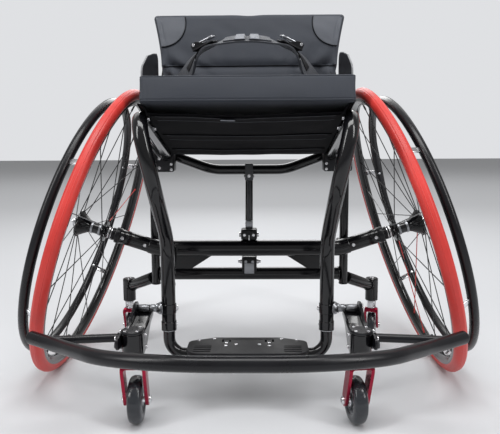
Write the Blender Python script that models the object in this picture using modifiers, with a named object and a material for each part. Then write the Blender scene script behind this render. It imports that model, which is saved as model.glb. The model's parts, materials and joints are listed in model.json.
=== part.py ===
"""Sports wheelchair: rigid frame, cambered wheels, wing bumper, front casters and two anti-tip casters.

The chair faces -Y. The axle line stands at Y = AXLE_Y and every length is in metres, measured from it.
"""

import math

import bmesh
import bpy
from mathutils import Matrix, Vector

# clearances
SEAT_GAP = 0.0003
RUN_GAP = 0.0002

# main wheels
WHEEL_RADIUS = 0.3050
TYRE_RADIUS = 0.0118
CAMBER = math.radians(17.9)
WHEEL_X = 0.3180
WHEEL_STEPS = 36
RIM_WIDTH = 0.0200
RIM_DEPTH = 0.0150
TYRE_HEIGHT = 0.0190
RIM_SEAT = WHEEL_RADIUS - TYRE_HEIGHT
RIM_WALL = 0.0055
HANDRIM_DROP = 0.0380
HANDRIM_RADIUS = WHEEL_RADIUS - HANDRIM_DROP
HANDRIM_TUBE = 0.0080
HANDRIM_OFFSET = 0.0413
HANDRIM_TABS = 6
TAB_RADIUS = 0.0035
SPOKE_RADIUS = 0.0010
SPOKES_PER_FLANGE = 12
HUB_BARREL = 0.0115
HUB_OUTER_FLANGE = 0.0290
HUB_INNER_FLANGE = 0.0230
HUB_OUTER_Z = 0.0440
HUB_INNER_Z = -0.0120
FLANGE_THICKNESS = 0.0050
HUB_OUT_END = 0.0500
HUB_IN_END = -0.0200

# quick-release axle
AXLE_RADIUS = 0.00635
AXLE_HEAD_RADIUS = 0.0095
AXLE_HEAD_LENGTH = 0.0070
BUTTON_RADIUS = 0.0042
BUTTON_STAND_OUT = 0.0045
BUTTON_DEPTH = 0.0065
BUTTON_TRAVEL = 0.0030
RECEIVER_RADIUS = 0.0135
RECEIVER_LENGTH = 0.0160

# camber bar, and the lower crossbar behind and under it
BAR_RADIUS = 0.0170
BAR_Z = 0.2500
BAR_BEND = 0.0500
BAR_SLEEVE = 0.1120
ARM_RADIUS = 0.0155
CROSSBAR_RADIUS = 0.0120
CROSSBAR_Y = 0.0300
CROSSBAR_Z = 0.1920
GUSSET_THICKNESS = 0.0050
GUSSET_TOP_X = 0.0780
GUSSET_LOW_X = 0.1270
GUSSET_END_X = 0.1650
BRACKET_WIDTH = 0.0320
BRACKET_DEPTH = 0.0340
BRACKET_HEIGHT = 0.0330
BRACKET_BOLT = 0.0035

# side frames, one bent tube each
FRAME_RADIUS = 0.0127
RAIL_BACK = (0.1747, 0.0440, 0.4416)
RAIL_FRONT = (0.1716, -0.3020, 0.5205)
LEG_TOP = (0.1470, -0.3030, 0.4050)
LEG_X = 0.1415
LEG_Y = -0.2050
LEG_KNEE_Z = 0.3000
LEG_END_Z = 0.1436
SOCKET_DEPTH = 0.0280
SIDE_RAIL_RADIUS = 0.0110
SIDE_RAIL_X = 0.1640
SIDE_RAIL_LOW_Z = 0.2150

# seat posts, their clamps and the curved crossbar
POST_RADIUS = 0.0095
POST_X = 0.2050
POST_Y = 0.0300
POST_LOW_Z = 0.1680
POST_BEND_Z = 0.4750
CANE_LOW_X = 0.1760
CANE_TOP_X = 0.1920
POST_CLAMP_SIZE = (0.0300, 0.0290, 0.0300)
SEAT_CLAMP_IN = 0.1580
SEAT_CLAMP_OUT = 0.2190
SEAT_CLAMP_DEPTH = 0.0360
SEAT_CLAMP_HEIGHT = 0.0420
BACKBAR_RADIUS = 0.0100
BACKBAR_Z = 0.4140
BACKBAR_FLAT_X = 0.0800
BACKBAR_END = (0.1780, 0.4500)

# strut from the curved crossbar down to the camber bar
STRUT_RADIUS = 0.0075
STRUT_FOOT_Y = 0.0200
CLEVIS_WIDTH = 0.0220
CLEVIS_HEIGHT = 0.0380
STRUT_CLAMP_SIZE = (0.0340, 0.0340, 0.0230)
STRUT_BOLT = 0.0040

# front casters
FRONT_X = 0.1860
FRONT_STEM_Y = -0.3030
FRONT_TRAIL = 0.0220
FRONT_WHEEL_RADIUS = 0.0400
FRONT_WHEEL_WIDTH = 0.0240
FRONT_FORK_WIDTH = 0.0420
FRONT_LEG = 0.0055
FRONT_LEG_RADIUS = 0.0110
FRONT_CROWN_Z = 0.1000
FRONT_STEM_RADIUS = 0.0070
HOUSING_RADIUS = 0.0190
HOUSING_LOW_Z = 0.1080
HOUSING_TOP_Z = 0.1690
HOUSING_WALL = 0.0100
CAP_RADIUS = 0.0205
CAP_THICKNESS = 0.0045
MOUNT_PLATE = 0.0050
MOUNT_PLATE_OFFSET = 0.0135
CROSS_BOLT_RADIUS = 0.0060
CROSS_BOLT_Z = 0.1770
CROSS_CLAMP_RADIUS = 0.0185
CROSS_CLAMP_HEIGHT = 0.0220

# anti-tip casters
REAR_X = 0.2850
REAR_STEM_Y = 0.1180
REAR_TRAIL = 0.0200
REAR_WHEEL_RADIUS = 0.0360
REAR_WHEEL_WIDTH = 0.0180
REAR_WHEEL_LIFT = 0.0040
REAR_FORK_WIDTH = 0.0315
REAR_LEG = 0.0045
REAR_LEG_RADIUS = 0.0090
REAR_CROWN_Z = 0.0880
REAR_STEM_RADIUS = 0.0060
REAR_HOUSING_RADIUS = 0.0145
REAR_HOUSING_LOW_Z = 0.1050
REAR_HOUSING_TOP_Z = 0.1580
REAR_HOUSING_WALL = 0.0080
REAR_ARM_RADIUS = 0.0125
REAR_ARM_START_Z = 0.1820
REAR_ARM_END_Z = 0.1380

# caster forks as they stand in the photograph
FRONT_YAW = {"left": math.radians(8), "right": math.radians(3)}
REAR_YAW = {"left": math.radians(-15), "right": math.radians(4)}

# bumper
BUMPER_RADIUS = 0.0111
BUMPER_REACH = 0.4870
BUMPER_TOP_Z = 0.1810
BUMPER_WING_Z = 0.1570
BUMPER_WING = (0.2890, -0.3500)
BUMPER_TIP = (0.3500, -0.3080)
RETURN_RADIUS = 0.0070
RETURN_REACH = (0.3280, -0.3235)
BUMPER_PLATE = 0.0040

# footrest
FOOT_TUBE = 0.0095
FOOT_Z = 0.0930
FOOT_BEND = 0.0300
FOOTPLATE_HALF = 0.1080
FOOTPLATE_THICKNESS = 0.0070
FOOTPLATE_FRONT = 0.0490
FOOTPLATE_BACK = 0.0390
GRIP_SLOTS = 4
GRIP_SLOT_LENGTH = 0.0320
GRIP_SLOT_WIDTH = 0.0040
GRIP_SLOT_STEP = 0.0090
FOOTPLATE_SHOULDER = 0.0200
FOOTPLATE_BENDS = (0.0260, 0.0260, 0.0140, 0.0200, 0.0200, 0.0140)
GRIP_SLOT_EDGE = 0.0120
FOOT_CLAMP_X = 0.0390
FOOT_SADDLE = (0.0200, 0.0320, 0.0200)
FOOT_SADDLE_DROP = 0.0110
COLLAR_RADIUS = 0.0170
COLLAR_HEIGHT = 0.0160

# seat, back, guards and strap
CUSHION_HALF = 0.1690
CUSHION_FRONT_Y = -0.3000
CUSHION_LENGTH = 0.3560
CUSHION_THICKNESS = 0.0410
CUSHION_CROWN = 0.0040
CUSHION_SETTLE = -0.0007
SLING_FRONT_Y = -0.2720
SLING_BACK_Y = 0.0080
SLING_THICKNESS = 0.0026
SLING_WRAP = math.radians(88)
SLING_SAG = 0.0160
BACK_HALF_TOP = 0.2030
BACK_HALF_LOW = 0.1850
BACK_TOP_Z = 0.7440
BACK_HEIGHT = 0.1100
BACK_LOW_Z = BACK_TOP_Z - BACK_HEIGHT
CANE_TOP_Z = BACK_TOP_Z - 0.0090
BACK_TOP_Y = 0.0620
BACK_LOW_Y = 0.0340
BACK_THICKNESS = 0.0220
SKIRT_DROP = 0.0540
SKIRT_LOW_Z = BACK_LOW_Z - SKIRT_DROP
SKIRT_THICKNESS = 0.0080
GUARD_THICKNESS = 0.0030
GUARD_BACK_Y = 0.0080
GUARD_BACK_Z = 0.6400
GUARD_PEAK = (-0.0720, 0.6440)
GUARD_NOSE = (-0.1350, 0.5780)
GUARD_FRONT_Y = -0.1500
GUARD_DROP = 0.0060
GUARD_BENDS = (0.0120, 0.0200, 0.0500, 0.0400, 0.0300)
STRAP_WIDTH = 0.0380
STRAP_THICKNESS = 0.0040
STRAP_HALF = 0.1310
STRAP_FOOT_Z = 0.6120
STRAP_RISE = 0.0550
STRAP_LEG = 0.0550
STRAP_LEAN = 0.0060
STRAP_TURN = (0.1560, -0.0240, 0.5770)
STRAP_ARCH_Y = 0.0400
BUCKLE_X = 0.0800
BUCKLE_SIZE = (0.0440, 0.0340, 0.0050)
BUCKLE_EAR = 0.0030
BUCKLE_PIN = 0.0020
LEVER_LENGTH = 0.0400
LEVER_THICKNESS = 0.0030

TREAD_BACK = WHEEL_RADIUS - TYRE_RADIUS * (1 - math.cos(CAMBER))
AXLE_Y = (BUMPER_REACH + BUMPER_RADIUS - TREAD_BACK) / 2
WHEEL_Z = (WHEEL_RADIUS - TYRE_RADIUS) * math.cos(CAMBER) + TYRE_RADIUS
SEAT_SLOPE = math.atan2(RAIL_FRONT[2] - RAIL_BACK[2], RAIL_BACK[1] - RAIL_FRONT[1])

for old in list(bpy.data.objects):
    bpy.data.objects.remove(old, do_unlink=True)

parts = bpy.data.collections.new("sports_wheelchair")
cutters = bpy.data.collections.new("cutters")
cutters.hide_render = True
for made in (parts, cutters):
    bpy.context.scene.collection.children.link(made)

axle_line = bpy.data.objects.new("axle_line", None)
axle_line.location = (0, AXLE_Y, 0)
parts.objects.link(axle_line)


def material(name, colour, roughness, metallic=0.0):
    found = bpy.data.materials.get(name)
    if found:
        return found
    made = bpy.data.materials.new(name)
    made.use_nodes = True
    made.diffuse_color = (*colour, 1)
    shader = made.node_tree.nodes["Principled BSDF"]
    shader.inputs["Base Color"].default_value = (*colour, 1)
    shader.inputs["Roughness"].default_value = roughness
    shader.inputs["Metallic"].default_value = metallic
    return made


TYRE_RED = material("tyre_red", (0.62, 0.045, 0.035), 0.6)
GLOSS_BLACK = material("gloss_black_paint", (0.012, 0.012, 0.014), 0.18, 0.2)
SATIN_BLACK = material("satin_black_paint", (0.02, 0.02, 0.022), 0.4, 0.1)
BRIGHT = material("bright_steel", (0.75, 0.75, 0.77), 0.22, 1.0)
GREY_METAL = material("grey_alloy", (0.32, 0.33, 0.35), 0.3, 1.0)
RED_ALLOY = material("red_alloy", (0.35, 0.01, 0.03), 0.28, 0.9)
SMOKE_WHEEL = material("smoke_wheel", (0.08, 0.08, 0.085), 0.25)
BLACK_PLASTIC = material("black_plastic", (0.018, 0.018, 0.02), 0.45)
GREY_FABRIC = material("grey_fabric", (0.055, 0.06, 0.072), 0.75)
BLACK_WEB = material("black_webbing", (0.015, 0.015, 0.017), 0.85)


def place(obj, finish, collection=None, parent=axle_line, smooth=True):
    """Puts an object in its collection, under its parent, with its material."""
    (collection or parts).objects.link(obj)
    obj.parent = parent
    if finish:
        obj.data.materials.append(finish)
    if smooth and obj.type == "MESH":
        obj.data.shade_smooth()
        obj.data.set_sharp_from_angle(angle=math.radians(35))
    if collection is cutters:
        obj.hide_render = True
        obj.display_type = "WIRE"
    return obj


def baked(obj):
    """Turns a curve into a mesh object of the same name and place, with its caps welded."""
    bpy.context.view_layer.update()
    graph = bpy.context.evaluated_depsgraph_get()
    mesh = bpy.data.meshes.new_from_object(obj.evaluated_get(graph))
    weld = bmesh.new()
    weld.from_mesh(mesh)
    bmesh.ops.remove_doubles(weld, verts=weld.verts, dist=0.00002)
    bmesh.ops.recalc_face_normals(weld, faces=weld.faces)
    weld.to_mesh(mesh)
    weld.free()
    mesh.shade_smooth()
    mesh.set_sharp_from_angle(angle=math.radians(35))
    name, parent, world = obj.name, obj.parent, obj.matrix_world.copy()
    collection = obj.users_collection[0]
    bpy.data.objects.remove(obj, do_unlink=True)
    solid = bpy.data.objects.new(name, mesh)
    collection.objects.link(solid)
    solid.parent = parent
    solid.matrix_world = world
    if collection is cutters:
        solid.hide_render = True
        solid.display_type = "WIRE"
    return solid


def boolean(target, operation, others):
    for other in others:
        step = target.modifiers.new(f"{operation.lower()}_{other.name}", "BOOLEAN")
        step.operation = operation
        step.solver = "EXACT"
        step.object = other
    return target


def filleted(points, bends, arc_steps=4):
    """A route of straight runs whose inner corners are arcs of the given bend radii."""
    points = [Vector(point) for point in points]
    route = [points[0]]
    for before, corner, after, bend in zip(points, points[1:], points[2:], bends):
        into = (corner - before).normalized()
        away = (after - corner).normalized()
        turn = into.angle(away)
        if bend <= 0 or turn < 0.01:
            route.append(corner)
            continue
        back = bend * math.tan(turn / 2)
        centre = corner + (away - into).normalized() * (bend / math.cos(turn / 2))
        start = corner - into * back - centre
        normal = into.cross(away).normalized()
        for step in range(arc_steps + 1):
            spin = Matrix.Rotation(turn * step / arc_steps, 3, normal)
            route.append(centre + spin @ start)
    route.append(points[-1])
    return route


def tube(name, route, radius, finish, sides=2, collection=None, parent=axle_line):
    """A round bar along a route, with flat closed ends."""
    curve = bpy.data.curves.new(name, "CURVE")
    curve.dimensions = "3D"
    curve.bevel_depth = radius
    curve.bevel_resolution = sides
    curve.use_fill_caps = True
    line = curve.splines.new("POLY")
    line.points.add(len(route) - 1)
    for point, where in zip(line.points, route):
        point.co = (*where, 1)
    obj = bpy.data.objects.new(name, curve)
    place(obj, finish, collection, parent)
    return baked(obj)


def rod(name, start, end, radius, finish=None, sides=16, collection=None, parent=axle_line):
    """A straight round bar."""
    start, end = Vector(start), Vector(end)
    mesh = bpy.data.meshes.new(name)
    shape = bmesh.new()
    bmesh.ops.create_cone(
        shape,
        cap_ends=True,
        segments=sides,
        radius1=radius,
        radius2=radius,
        depth=(end - start).length,
    )
    turn = (end - start).to_track_quat("Z", "Y").to_matrix().to_4x4()
    bmesh.ops.transform(shape, matrix=Matrix.Translation((start + end) / 2) @ turn, verts=shape.verts)
    shape.to_mesh(mesh)
    shape.free()
    return place(bpy.data.objects.new(name, mesh), finish, collection, parent)


def block(name, size, centre, finish=None, bevel=0.0, collection=None, parent=axle_line):
    """A box with rounded edges."""
    mesh = bpy.data.meshes.new(name)
    shape = bmesh.new()
    bmesh.ops.create_cube(shape, size=1)
    bmesh.ops.scale(shape, vec=size, verts=shape.verts)
    bmesh.ops.translate(shape, vec=centre, verts=shape.verts)
    shape.to_mesh(mesh)
    shape.free()
    obj = place(bpy.data.objects.new(name, mesh), finish, collection, parent)
    if bevel:
        edge = obj.modifiers.new("rounded_edges", "BEVEL")
        edge.width = bevel
        edge.segments = 1
        edge.limit_method = "ANGLE"
    return obj


def turned(name, profile, steps, finish, frame, closed=False, collection=None, parent=axle_line):
    """A profile of (radius, height) points, outer side downwards, turned about the frame's Z."""
    mesh = bpy.data.meshes.new(name)
    points = [(radius, 0, height) for radius, height in profile]
    links = [(i, i + 1) for i in range(len(points) - 1)]
    if closed:
        links.append((len(points) - 1, 0))
    mesh.from_pydata(points, links, [])
    obj = place(bpy.data.objects.new(name, mesh), finish, collection, parent)
    obj.matrix_local = frame
    screw = obj.modifiers.new("turned", "SCREW")
    screw.angle = math.tau
    screw.steps = screw.render_steps = steps
    screw.use_merge_vertices = True
    screw.merge_threshold = 0.00001
    screw.use_smooth_shade = True
    return obj


def slab(name, outline, thickness, finish, frame, collection=None, parent=axle_line, bevel=0.0):
    """A flat outline of given thickness, centred on the frame's XY plane."""
    curve = bpy.data.curves.new(name, "CURVE")
    curve.dimensions = "2D"
    curve.fill_mode = "BOTH"
    curve.extrude = thickness / 2
    loops = outline if isinstance(outline[0][0], (tuple, list)) else [outline]
    for loop in loops:
        line = curve.splines.new("POLY")
        line.points.add(len(loop) - 1)
        for point, (x, y) in zip(line.points, loop):
            point.co = (x, y, 0, 1)
        line.use_cyclic_u = True
    obj = bpy.data.objects.new(name, curve)
    place(obj, finish, collection, parent)
    obj.matrix_local = frame
    solid = baked(obj)
    if bevel:
        edge = solid.modifiers.new("rounded_edges", "BEVEL")
        edge.width = bevel
        edge.segments = 1
        edge.limit_method = "ANGLE"
        edge.angle_limit = math.radians(50)
    return solid


def axes(x_axis, z_axis, origin):
    """The frame with this origin whose Z is z_axis and whose X lies nearest x_axis."""
    z_axis = Vector(z_axis).normalized()
    y_axis = z_axis.cross(Vector(x_axis)).normalized()
    x_axis = y_axis.cross(z_axis)
    frame = Matrix((x_axis, y_axis, z_axis)).transposed().to_4x4()
    frame.translation = Vector(origin)
    return frame


def rounded_outline(corners, radii, steps=3):
    """A closed flat outline whose corners are arcs of the given radii."""
    outline = []
    count = len(corners)
    for i, (corner, radius) in enumerate(zip(corners, radii)):
        before = Vector((*corners[i - 1], 0))
        here = Vector((*corner, 0))
        after = Vector((*corners[(i + 1) % count], 0))
        if radius <= 0:
            outline.append(tuple(here.xy))
            continue
        outline += [tuple(p.xy) for p in filleted((before, here, after), (radius,), steps)[1:-1]]
    return outline


def mirrored(point, side):
    return Vector((point[0] * side, point[1], point[2]))


def bore(radius, gap=SEAT_GAP, sides=16):
    """Corner radius of a faceted hole whose flats clear a round bar of this radius."""
    return (radius + gap) / math.cos(math.pi / sides)


def hole(name, start, end, radius, gap=SEAT_GAP, sides=16, parent=axle_line):
    return rod(name, start, end, bore(radius, gap, sides), None, sides, cutters, parent)


rail_top = FRAME_RADIUS / math.cos(SEAT_SLOPE) + SEAT_GAP


def rail_z(y):
    """Height of the seat rail's centreline at a place along it."""
    return RAIL_BACK[2] + (RAIL_BACK[1] - y) * math.tan(SEAT_SLOPE)


# main wheels: a turned tyre and rim, a laced hub and a handrim on tabs
def ring_profile(radius, height, tube_radius, points):
    turns = [math.pi - math.tau * (i + 0.5) / points for i in range(points)]
    return [(radius + tube_radius * math.cos(t), height + tube_radius * math.sin(t)) for t in turns]


def tyre_profile():
    """A round tread with a corner on the ground line, over a flat base that sits on the rim."""
    centre = WHEEL_RADIUS - TYRE_RADIUS
    base = math.acos((RIM_SEAT - centre) / TYRE_RADIUS)
    steps = [base + (CAMBER - base) * i / 3 for i in range(4)]
    turns = steps + [-turn for turn in reversed(steps)]
    return [(centre + TYRE_RADIUS * math.cos(t), TYRE_RADIUS * math.sin(t)) for t in turns]


def rim_profile():
    half = RIM_WIDTH / 2
    outer = RIM_SEAT - SEAT_GAP
    return [
        (outer, half),
        (outer, -half),
        (outer - RIM_WALL, -half),
        (outer - RIM_DEPTH, -half / 2),
        (outer - RIM_DEPTH, half / 2),
        (outer - RIM_WALL, half),
    ]


def hub_profile():
    half = FLANGE_THICKNESS / 2
    inside = bore(AXLE_RADIUS, RUN_GAP)
    return [
        (AXLE_HEAD_RADIUS + 0.006, HUB_OUT_END),
        (HUB_OUTER_FLANGE, HUB_OUTER_Z + half),
        (HUB_OUTER_FLANGE, HUB_OUTER_Z - half),
        (HUB_BARREL + 0.008, HUB_OUTER_Z - 0.014),
        (HUB_BARREL, HUB_OUTER_Z - 0.024),
        (HUB_BARREL, HUB_INNER_Z + half + 0.004),
        (HUB_INNER_FLANGE, HUB_INNER_Z + half),
        (HUB_INNER_FLANGE, HUB_INNER_Z - half),
        (RECEIVER_RADIUS, HUB_INNER_Z - half - 0.002),
        (RECEIVER_RADIUS, HUB_IN_END),
        (inside, HUB_IN_END),
        (inside, HUB_OUT_END),
    ]


def laced_spokes(name, parent):
    """Crossed pairs from both flanges, ending evenly round the rim's inside."""
    mesh = bpy.data.meshes.new(name)
    shape = bmesh.new()
    reach = (RIM_SEAT - SEAT_GAP - RIM_DEPTH) * math.cos(math.pi / WHEEL_STEPS) - 0.0006
    lead = math.tau / SPOKES_PER_FLANGE
    flanges = ((HUB_OUTER_FLANGE, HUB_OUTER_Z, 0.0), (HUB_INNER_FLANGE, HUB_INNER_Z, 0.5))
    for flange, height, start in flanges:
        for i in range(SPOKES_PER_FLANGE):
            way = 1 if i % 2 else -1
            low = lead * (i + start)
            root = Vector((math.cos(low), math.sin(low), 0)) * (flange - 0.0045)
            root.z = height + way * (FLANGE_THICKNESS / 2 - SPOKE_RADIUS - 0.0001)
            high = low + way * lead
            end = Vector((math.cos(high), math.sin(high), 0)) * reach
            end.z = math.copysign(0.0015, height)
            turn = (end - root).to_track_quat("Z", "Y").to_matrix().to_4x4()
            bmesh.ops.create_cone(
                shape,
                cap_ends=True,
                segments=4,
                radius1=SPOKE_RADIUS,
                radius2=SPOKE_RADIUS,
                depth=(end - root).length,
                matrix=Matrix.Translation((root + end) / 2) @ turn,
            )
    shape.to_mesh(mesh)
    shape.free()
    return place(bpy.data.objects.new(name, mesh), None, cutters, parent)


def main_wheel(side, tag):
    """One wheel on its cambered axis, whose Z points out of the chair along the axle."""
    axis = bpy.data.objects.new(f"wheel_axis_{tag}", None)
    parts.objects.link(axis)
    axis.parent = axle_line
    outward = (side * math.cos(CAMBER), 0, math.sin(CAMBER))
    ground = (side * math.sin(CAMBER), 0, -math.cos(CAMBER))
    axis.matrix_local = axes(ground, outward, (side * WHEEL_X, 0, WHEEL_Z))

    own = Matrix()
    turned(f"tyre_{tag}", tyre_profile(), WHEEL_STEPS, TYRE_RED, own, True, parent=axis)
    turned(f"rim_{tag}", rim_profile(), WHEEL_STEPS, GLOSS_BLACK, own, True, parent=axis)
    hub = turned(f"hub_{tag}", hub_profile(), 16, GLOSS_BLACK, own, True, parent=axis)
    boolean(hub, "UNION", [laced_spokes(f"spokes_{tag}", axis)])

    ring = ring_profile(HANDRIM_RADIUS, HANDRIM_OFFSET, HANDRIM_TUBE, 8)
    handrim = turned(f"handrim_{tag}", ring, WHEEL_STEPS, SATIN_BLACK, own, True, parent=axis)
    tabs = []
    seat = RIM_WIDTH / 2 + SEAT_GAP
    for i in range(HANDRIM_TABS):
        turn = math.tau * (i + 0.5) / HANDRIM_TABS
        way = Vector((math.cos(turn), math.sin(turn), 0))
        top = way * HANDRIM_RADIUS + Vector((0, 0, HANDRIM_OFFSET))
        low = way * (RIM_SEAT - RIM_WALL) + Vector((0, 0, seat + TAB_RADIUS * 0.2))
        tabs.append(rod(f"tab_{tag}_{i}", low, top, TAB_RADIUS, None, 6, cutters, axis))
    boolean(handrim, "UNION", tabs)

    head = HUB_OUT_END + SEAT_GAP
    face = head + AXLE_HEAD_LENGTH
    tip = HUB_IN_END - RECEIVER_LENGTH + 0.001
    pocket = bore(BUTTON_RADIUS, RUN_GAP, 12)
    pin = [
        (0, face - BUTTON_DEPTH),
        (pocket, face - BUTTON_DEPTH),
        (pocket, face),
        (AXLE_HEAD_RADIUS, face),
        (AXLE_HEAD_RADIUS, head),
        (AXLE_RADIUS, head),
        (AXLE_RADIUS, tip),
        (0, tip),
    ]
    turned(f"axle_pin_{tag}", pin, 16, BRIGHT, own, parent=axis)
    foot = face - BUTTON_DEPTH + BUTTON_TRAVEL + SEAT_GAP
    top = face + BUTTON_STAND_OUT
    button = [(0, top), (BUTTON_RADIUS, top), (BUTTON_RADIUS, foot), (0, foot)]
    turned(f"axle_button_{tag}", button, 12, BRIGHT, own, parent=axis)
    inner = HUB_IN_END - SEAT_GAP
    end = inner - RECEIVER_LENGTH
    inside = bore(AXLE_RADIUS)
    receiver = [
        (RECEIVER_RADIUS - 0.0015, inner),
        (RECEIVER_RADIUS, inner - 0.0015),
        (RECEIVER_RADIUS, end),
        (inside, end),
        (inside, inner),
    ]
    turned(f"axle_receiver_{tag}", receiver, 16, BRIGHT, own, True, parent=axis)


for side, tag in ((1, "left"), (-1, "right")):
    main_wheel(side, tag)


# camber bar: a straight tube whose ends turn up into line with the cambered axles
arm_bend_x = WHEEL_X - (WHEEL_Z - BAR_Z) / math.tan(CAMBER)
arm_end = -(HUB_IN_END - SEAT_GAP - RECEIVER_LENGTH - SEAT_GAP)
arm_dir = Vector((math.cos(CAMBER), 0, math.sin(CAMBER)))
wheel_centre = Vector((WHEEL_X, 0, WHEEL_Z))
shoulder = wheel_centre - arm_dir * BAR_SLEEVE
half_bar = [shoulder, Vector((arm_bend_x, 0, BAR_Z))]
bar_corners = half_bar + [mirrored(point, -1) for point in reversed(half_bar)]
camber_bar = tube("camber_bar", filleted(bar_corners, (BAR_BEND, BAR_BEND), 3), BAR_RADIUS, GLOSS_BLACK, 3)
arms = []
for side, tag in ((1, "left"), (-1, "right")):
    start = mirrored(wheel_centre - arm_dir * (BAR_SLEEVE + 0.008), side)
    end = mirrored(wheel_centre - arm_dir * arm_end, side)
    arms.append(rod(f"arm_{tag}", start, end, ARM_RADIUS, None, 12, cutters))
boolean(camber_bar, "UNION", arms)

# lower crossbar with its two slanted gussets, and the bracket at its middle
crossbar_half = POST_X - POST_RADIUS - SEAT_GAP
ends = [(crossbar_half, CROSSBAR_Y, CROSSBAR_Z), (-crossbar_half, CROSSBAR_Y, CROSSBAR_Z)]
crossbar = rod("lower_crossbar", ends[1], ends[0], CROSSBAR_RADIUS, GLOSS_BLACK, 12)
down = Vector((0, CROSSBAR_Y, CROSSBAR_Z - BAR_Z))
reach = down.length
down.normalize()
gussets = []
for side, tag in ((1, "left"), (-1, "right")):
    frame = axes((side, 0, 0), Vector((side, 0, 0)).cross(down), (0, 0, BAR_Z))
    top = BAR_RADIUS + SEAT_GAP
    low = reach - CROSSBAR_RADIUS
    outline = [
        (GUSSET_TOP_X, top),
        (GUSSET_END_X, top),
        (GUSSET_END_X, reach),
        (GUSSET_LOW_X + 0.012, reach),
        (GUSSET_LOW_X, low),
    ]
    gussets.append(slab(f"gusset_{tag}", outline, GUSSET_THICKNESS, None, frame, cutters))
boolean(crossbar, "UNION", gussets)

bracket_size = (BRACKET_WIDTH, BRACKET_DEPTH, BRACKET_HEIGHT)
bracket_z = CROSSBAR_Z + 0.003 + BRACKET_HEIGHT / 2
bracket = block("crossbar_bracket", bracket_size, (0, CROSSBAR_Y, bracket_z), SATIN_BLACK, bevel=0.003)
ends = [(x, CROSSBAR_Y, CROSSBAR_Z) for x in (-BRACKET_WIDTH, BRACKET_WIDTH)]
saddle = hole("crossbar_saddle", *ends, CROSSBAR_RADIUS)
bolt_x = BRACKET_WIDTH / 2 + 0.009
bolt_z = bracket_z + 0.004
ends = [(x, CROSSBAR_Y, bolt_z) for x in (-bolt_x, bolt_x)]
bolt = rod("bracket_bolt", *ends, BRACKET_BOLT, None, 8, cutters)
boolean(bracket, "UNION", [bolt])
boolean(bracket, "DIFFERENCE", [saddle])

# side frames: seat rail, front corner, front leg, in one bent tube each
for side, tag in ((1, "left"), (-1, "right")):
    knee, end = (LEG_X, LEG_Y, LEG_KNEE_Z), (LEG_X, LEG_Y, LEG_END_Z)
    corners = [mirrored(point, side) for point in (RAIL_BACK, RAIL_FRONT, LEG_TOP, knee, end)]
    route = filleted(corners, (0.045, 0.11, 0.08), 4)
    leg = tube(f"side_frame_{tag}", route, FRAME_RADIUS, GLOSS_BLACK, 2)
    foot = Vector((side * LEG_X, LEG_Y, LEG_END_Z))
    ends = [foot + Vector((0, 0, height)) for height in (-0.01, SOCKET_DEPTH)]
    socket = hole(f"leg_socket_{tag}", *ends, FOOT_TUBE)
    boolean(leg, "DIFFERENCE", [socket])

    low = LEG_END_Z - 0.006
    inner = bore(FRAME_RADIUS)
    collar = [
        (COLLAR_RADIUS - 0.001, low + COLLAR_HEIGHT),
        (COLLAR_RADIUS, low + COLLAR_HEIGHT - 0.001),
        (COLLAR_RADIUS, low),
        (inner, low),
        (inner, low + COLLAR_HEIGHT),
    ]
    centre = Matrix.Translation((side * LEG_X, LEG_Y, 0))
    turned(f"foot_collar_{tag}", collar, 16, GREY_METAL, centre, True)

    # the lower rail runs from the camber bar to the back of the leg
    start = Vector((side * SIDE_RAIL_X, 0, BAR_Z))
    end = Vector((side * LEG_X, LEG_Y, SIDE_RAIL_LOW_Z))
    along = (end - start).normalized()
    start += along * (BAR_RADIUS + SEAT_GAP + 0.0008) / math.hypot(along.y, along.z)
    end -= along * (FRAME_RADIUS + SEAT_GAP + SIDE_RAIL_RADIUS * abs(along.z)) / math.hypot(along.x, along.y)
    rod(f"lower_rail_{tag}", start, end, SIDE_RAIL_RADIUS, GLOSS_BLACK, 10)


# seat posts, bent above the seat into the canes that carry the back
def back_y(z):
    """Front of the back panel at this height."""
    return BACK_LOW_Y + (z - BACK_LOW_Z) * (BACK_TOP_Y - BACK_LOW_Y) / (BACK_TOP_Z - BACK_LOW_Z)


back_tilt = math.atan2(BACK_TOP_Y - BACK_LOW_Y, BACK_TOP_Z - BACK_LOW_Z)
cane_set = BACK_THICKNESS + (POST_RADIUS + SEAT_GAP) / math.cos(back_tilt)
clamp_back = POST_Y + SEAT_CLAMP_DEPTH / 2
clamp_z = rail_z(clamp_back) + rail_top - 0.001 - SEAT_CLAMP_HEIGHT / 2
backbar_y = clamp_back + SEAT_GAP + BACKBAR_RADIUS

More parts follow.
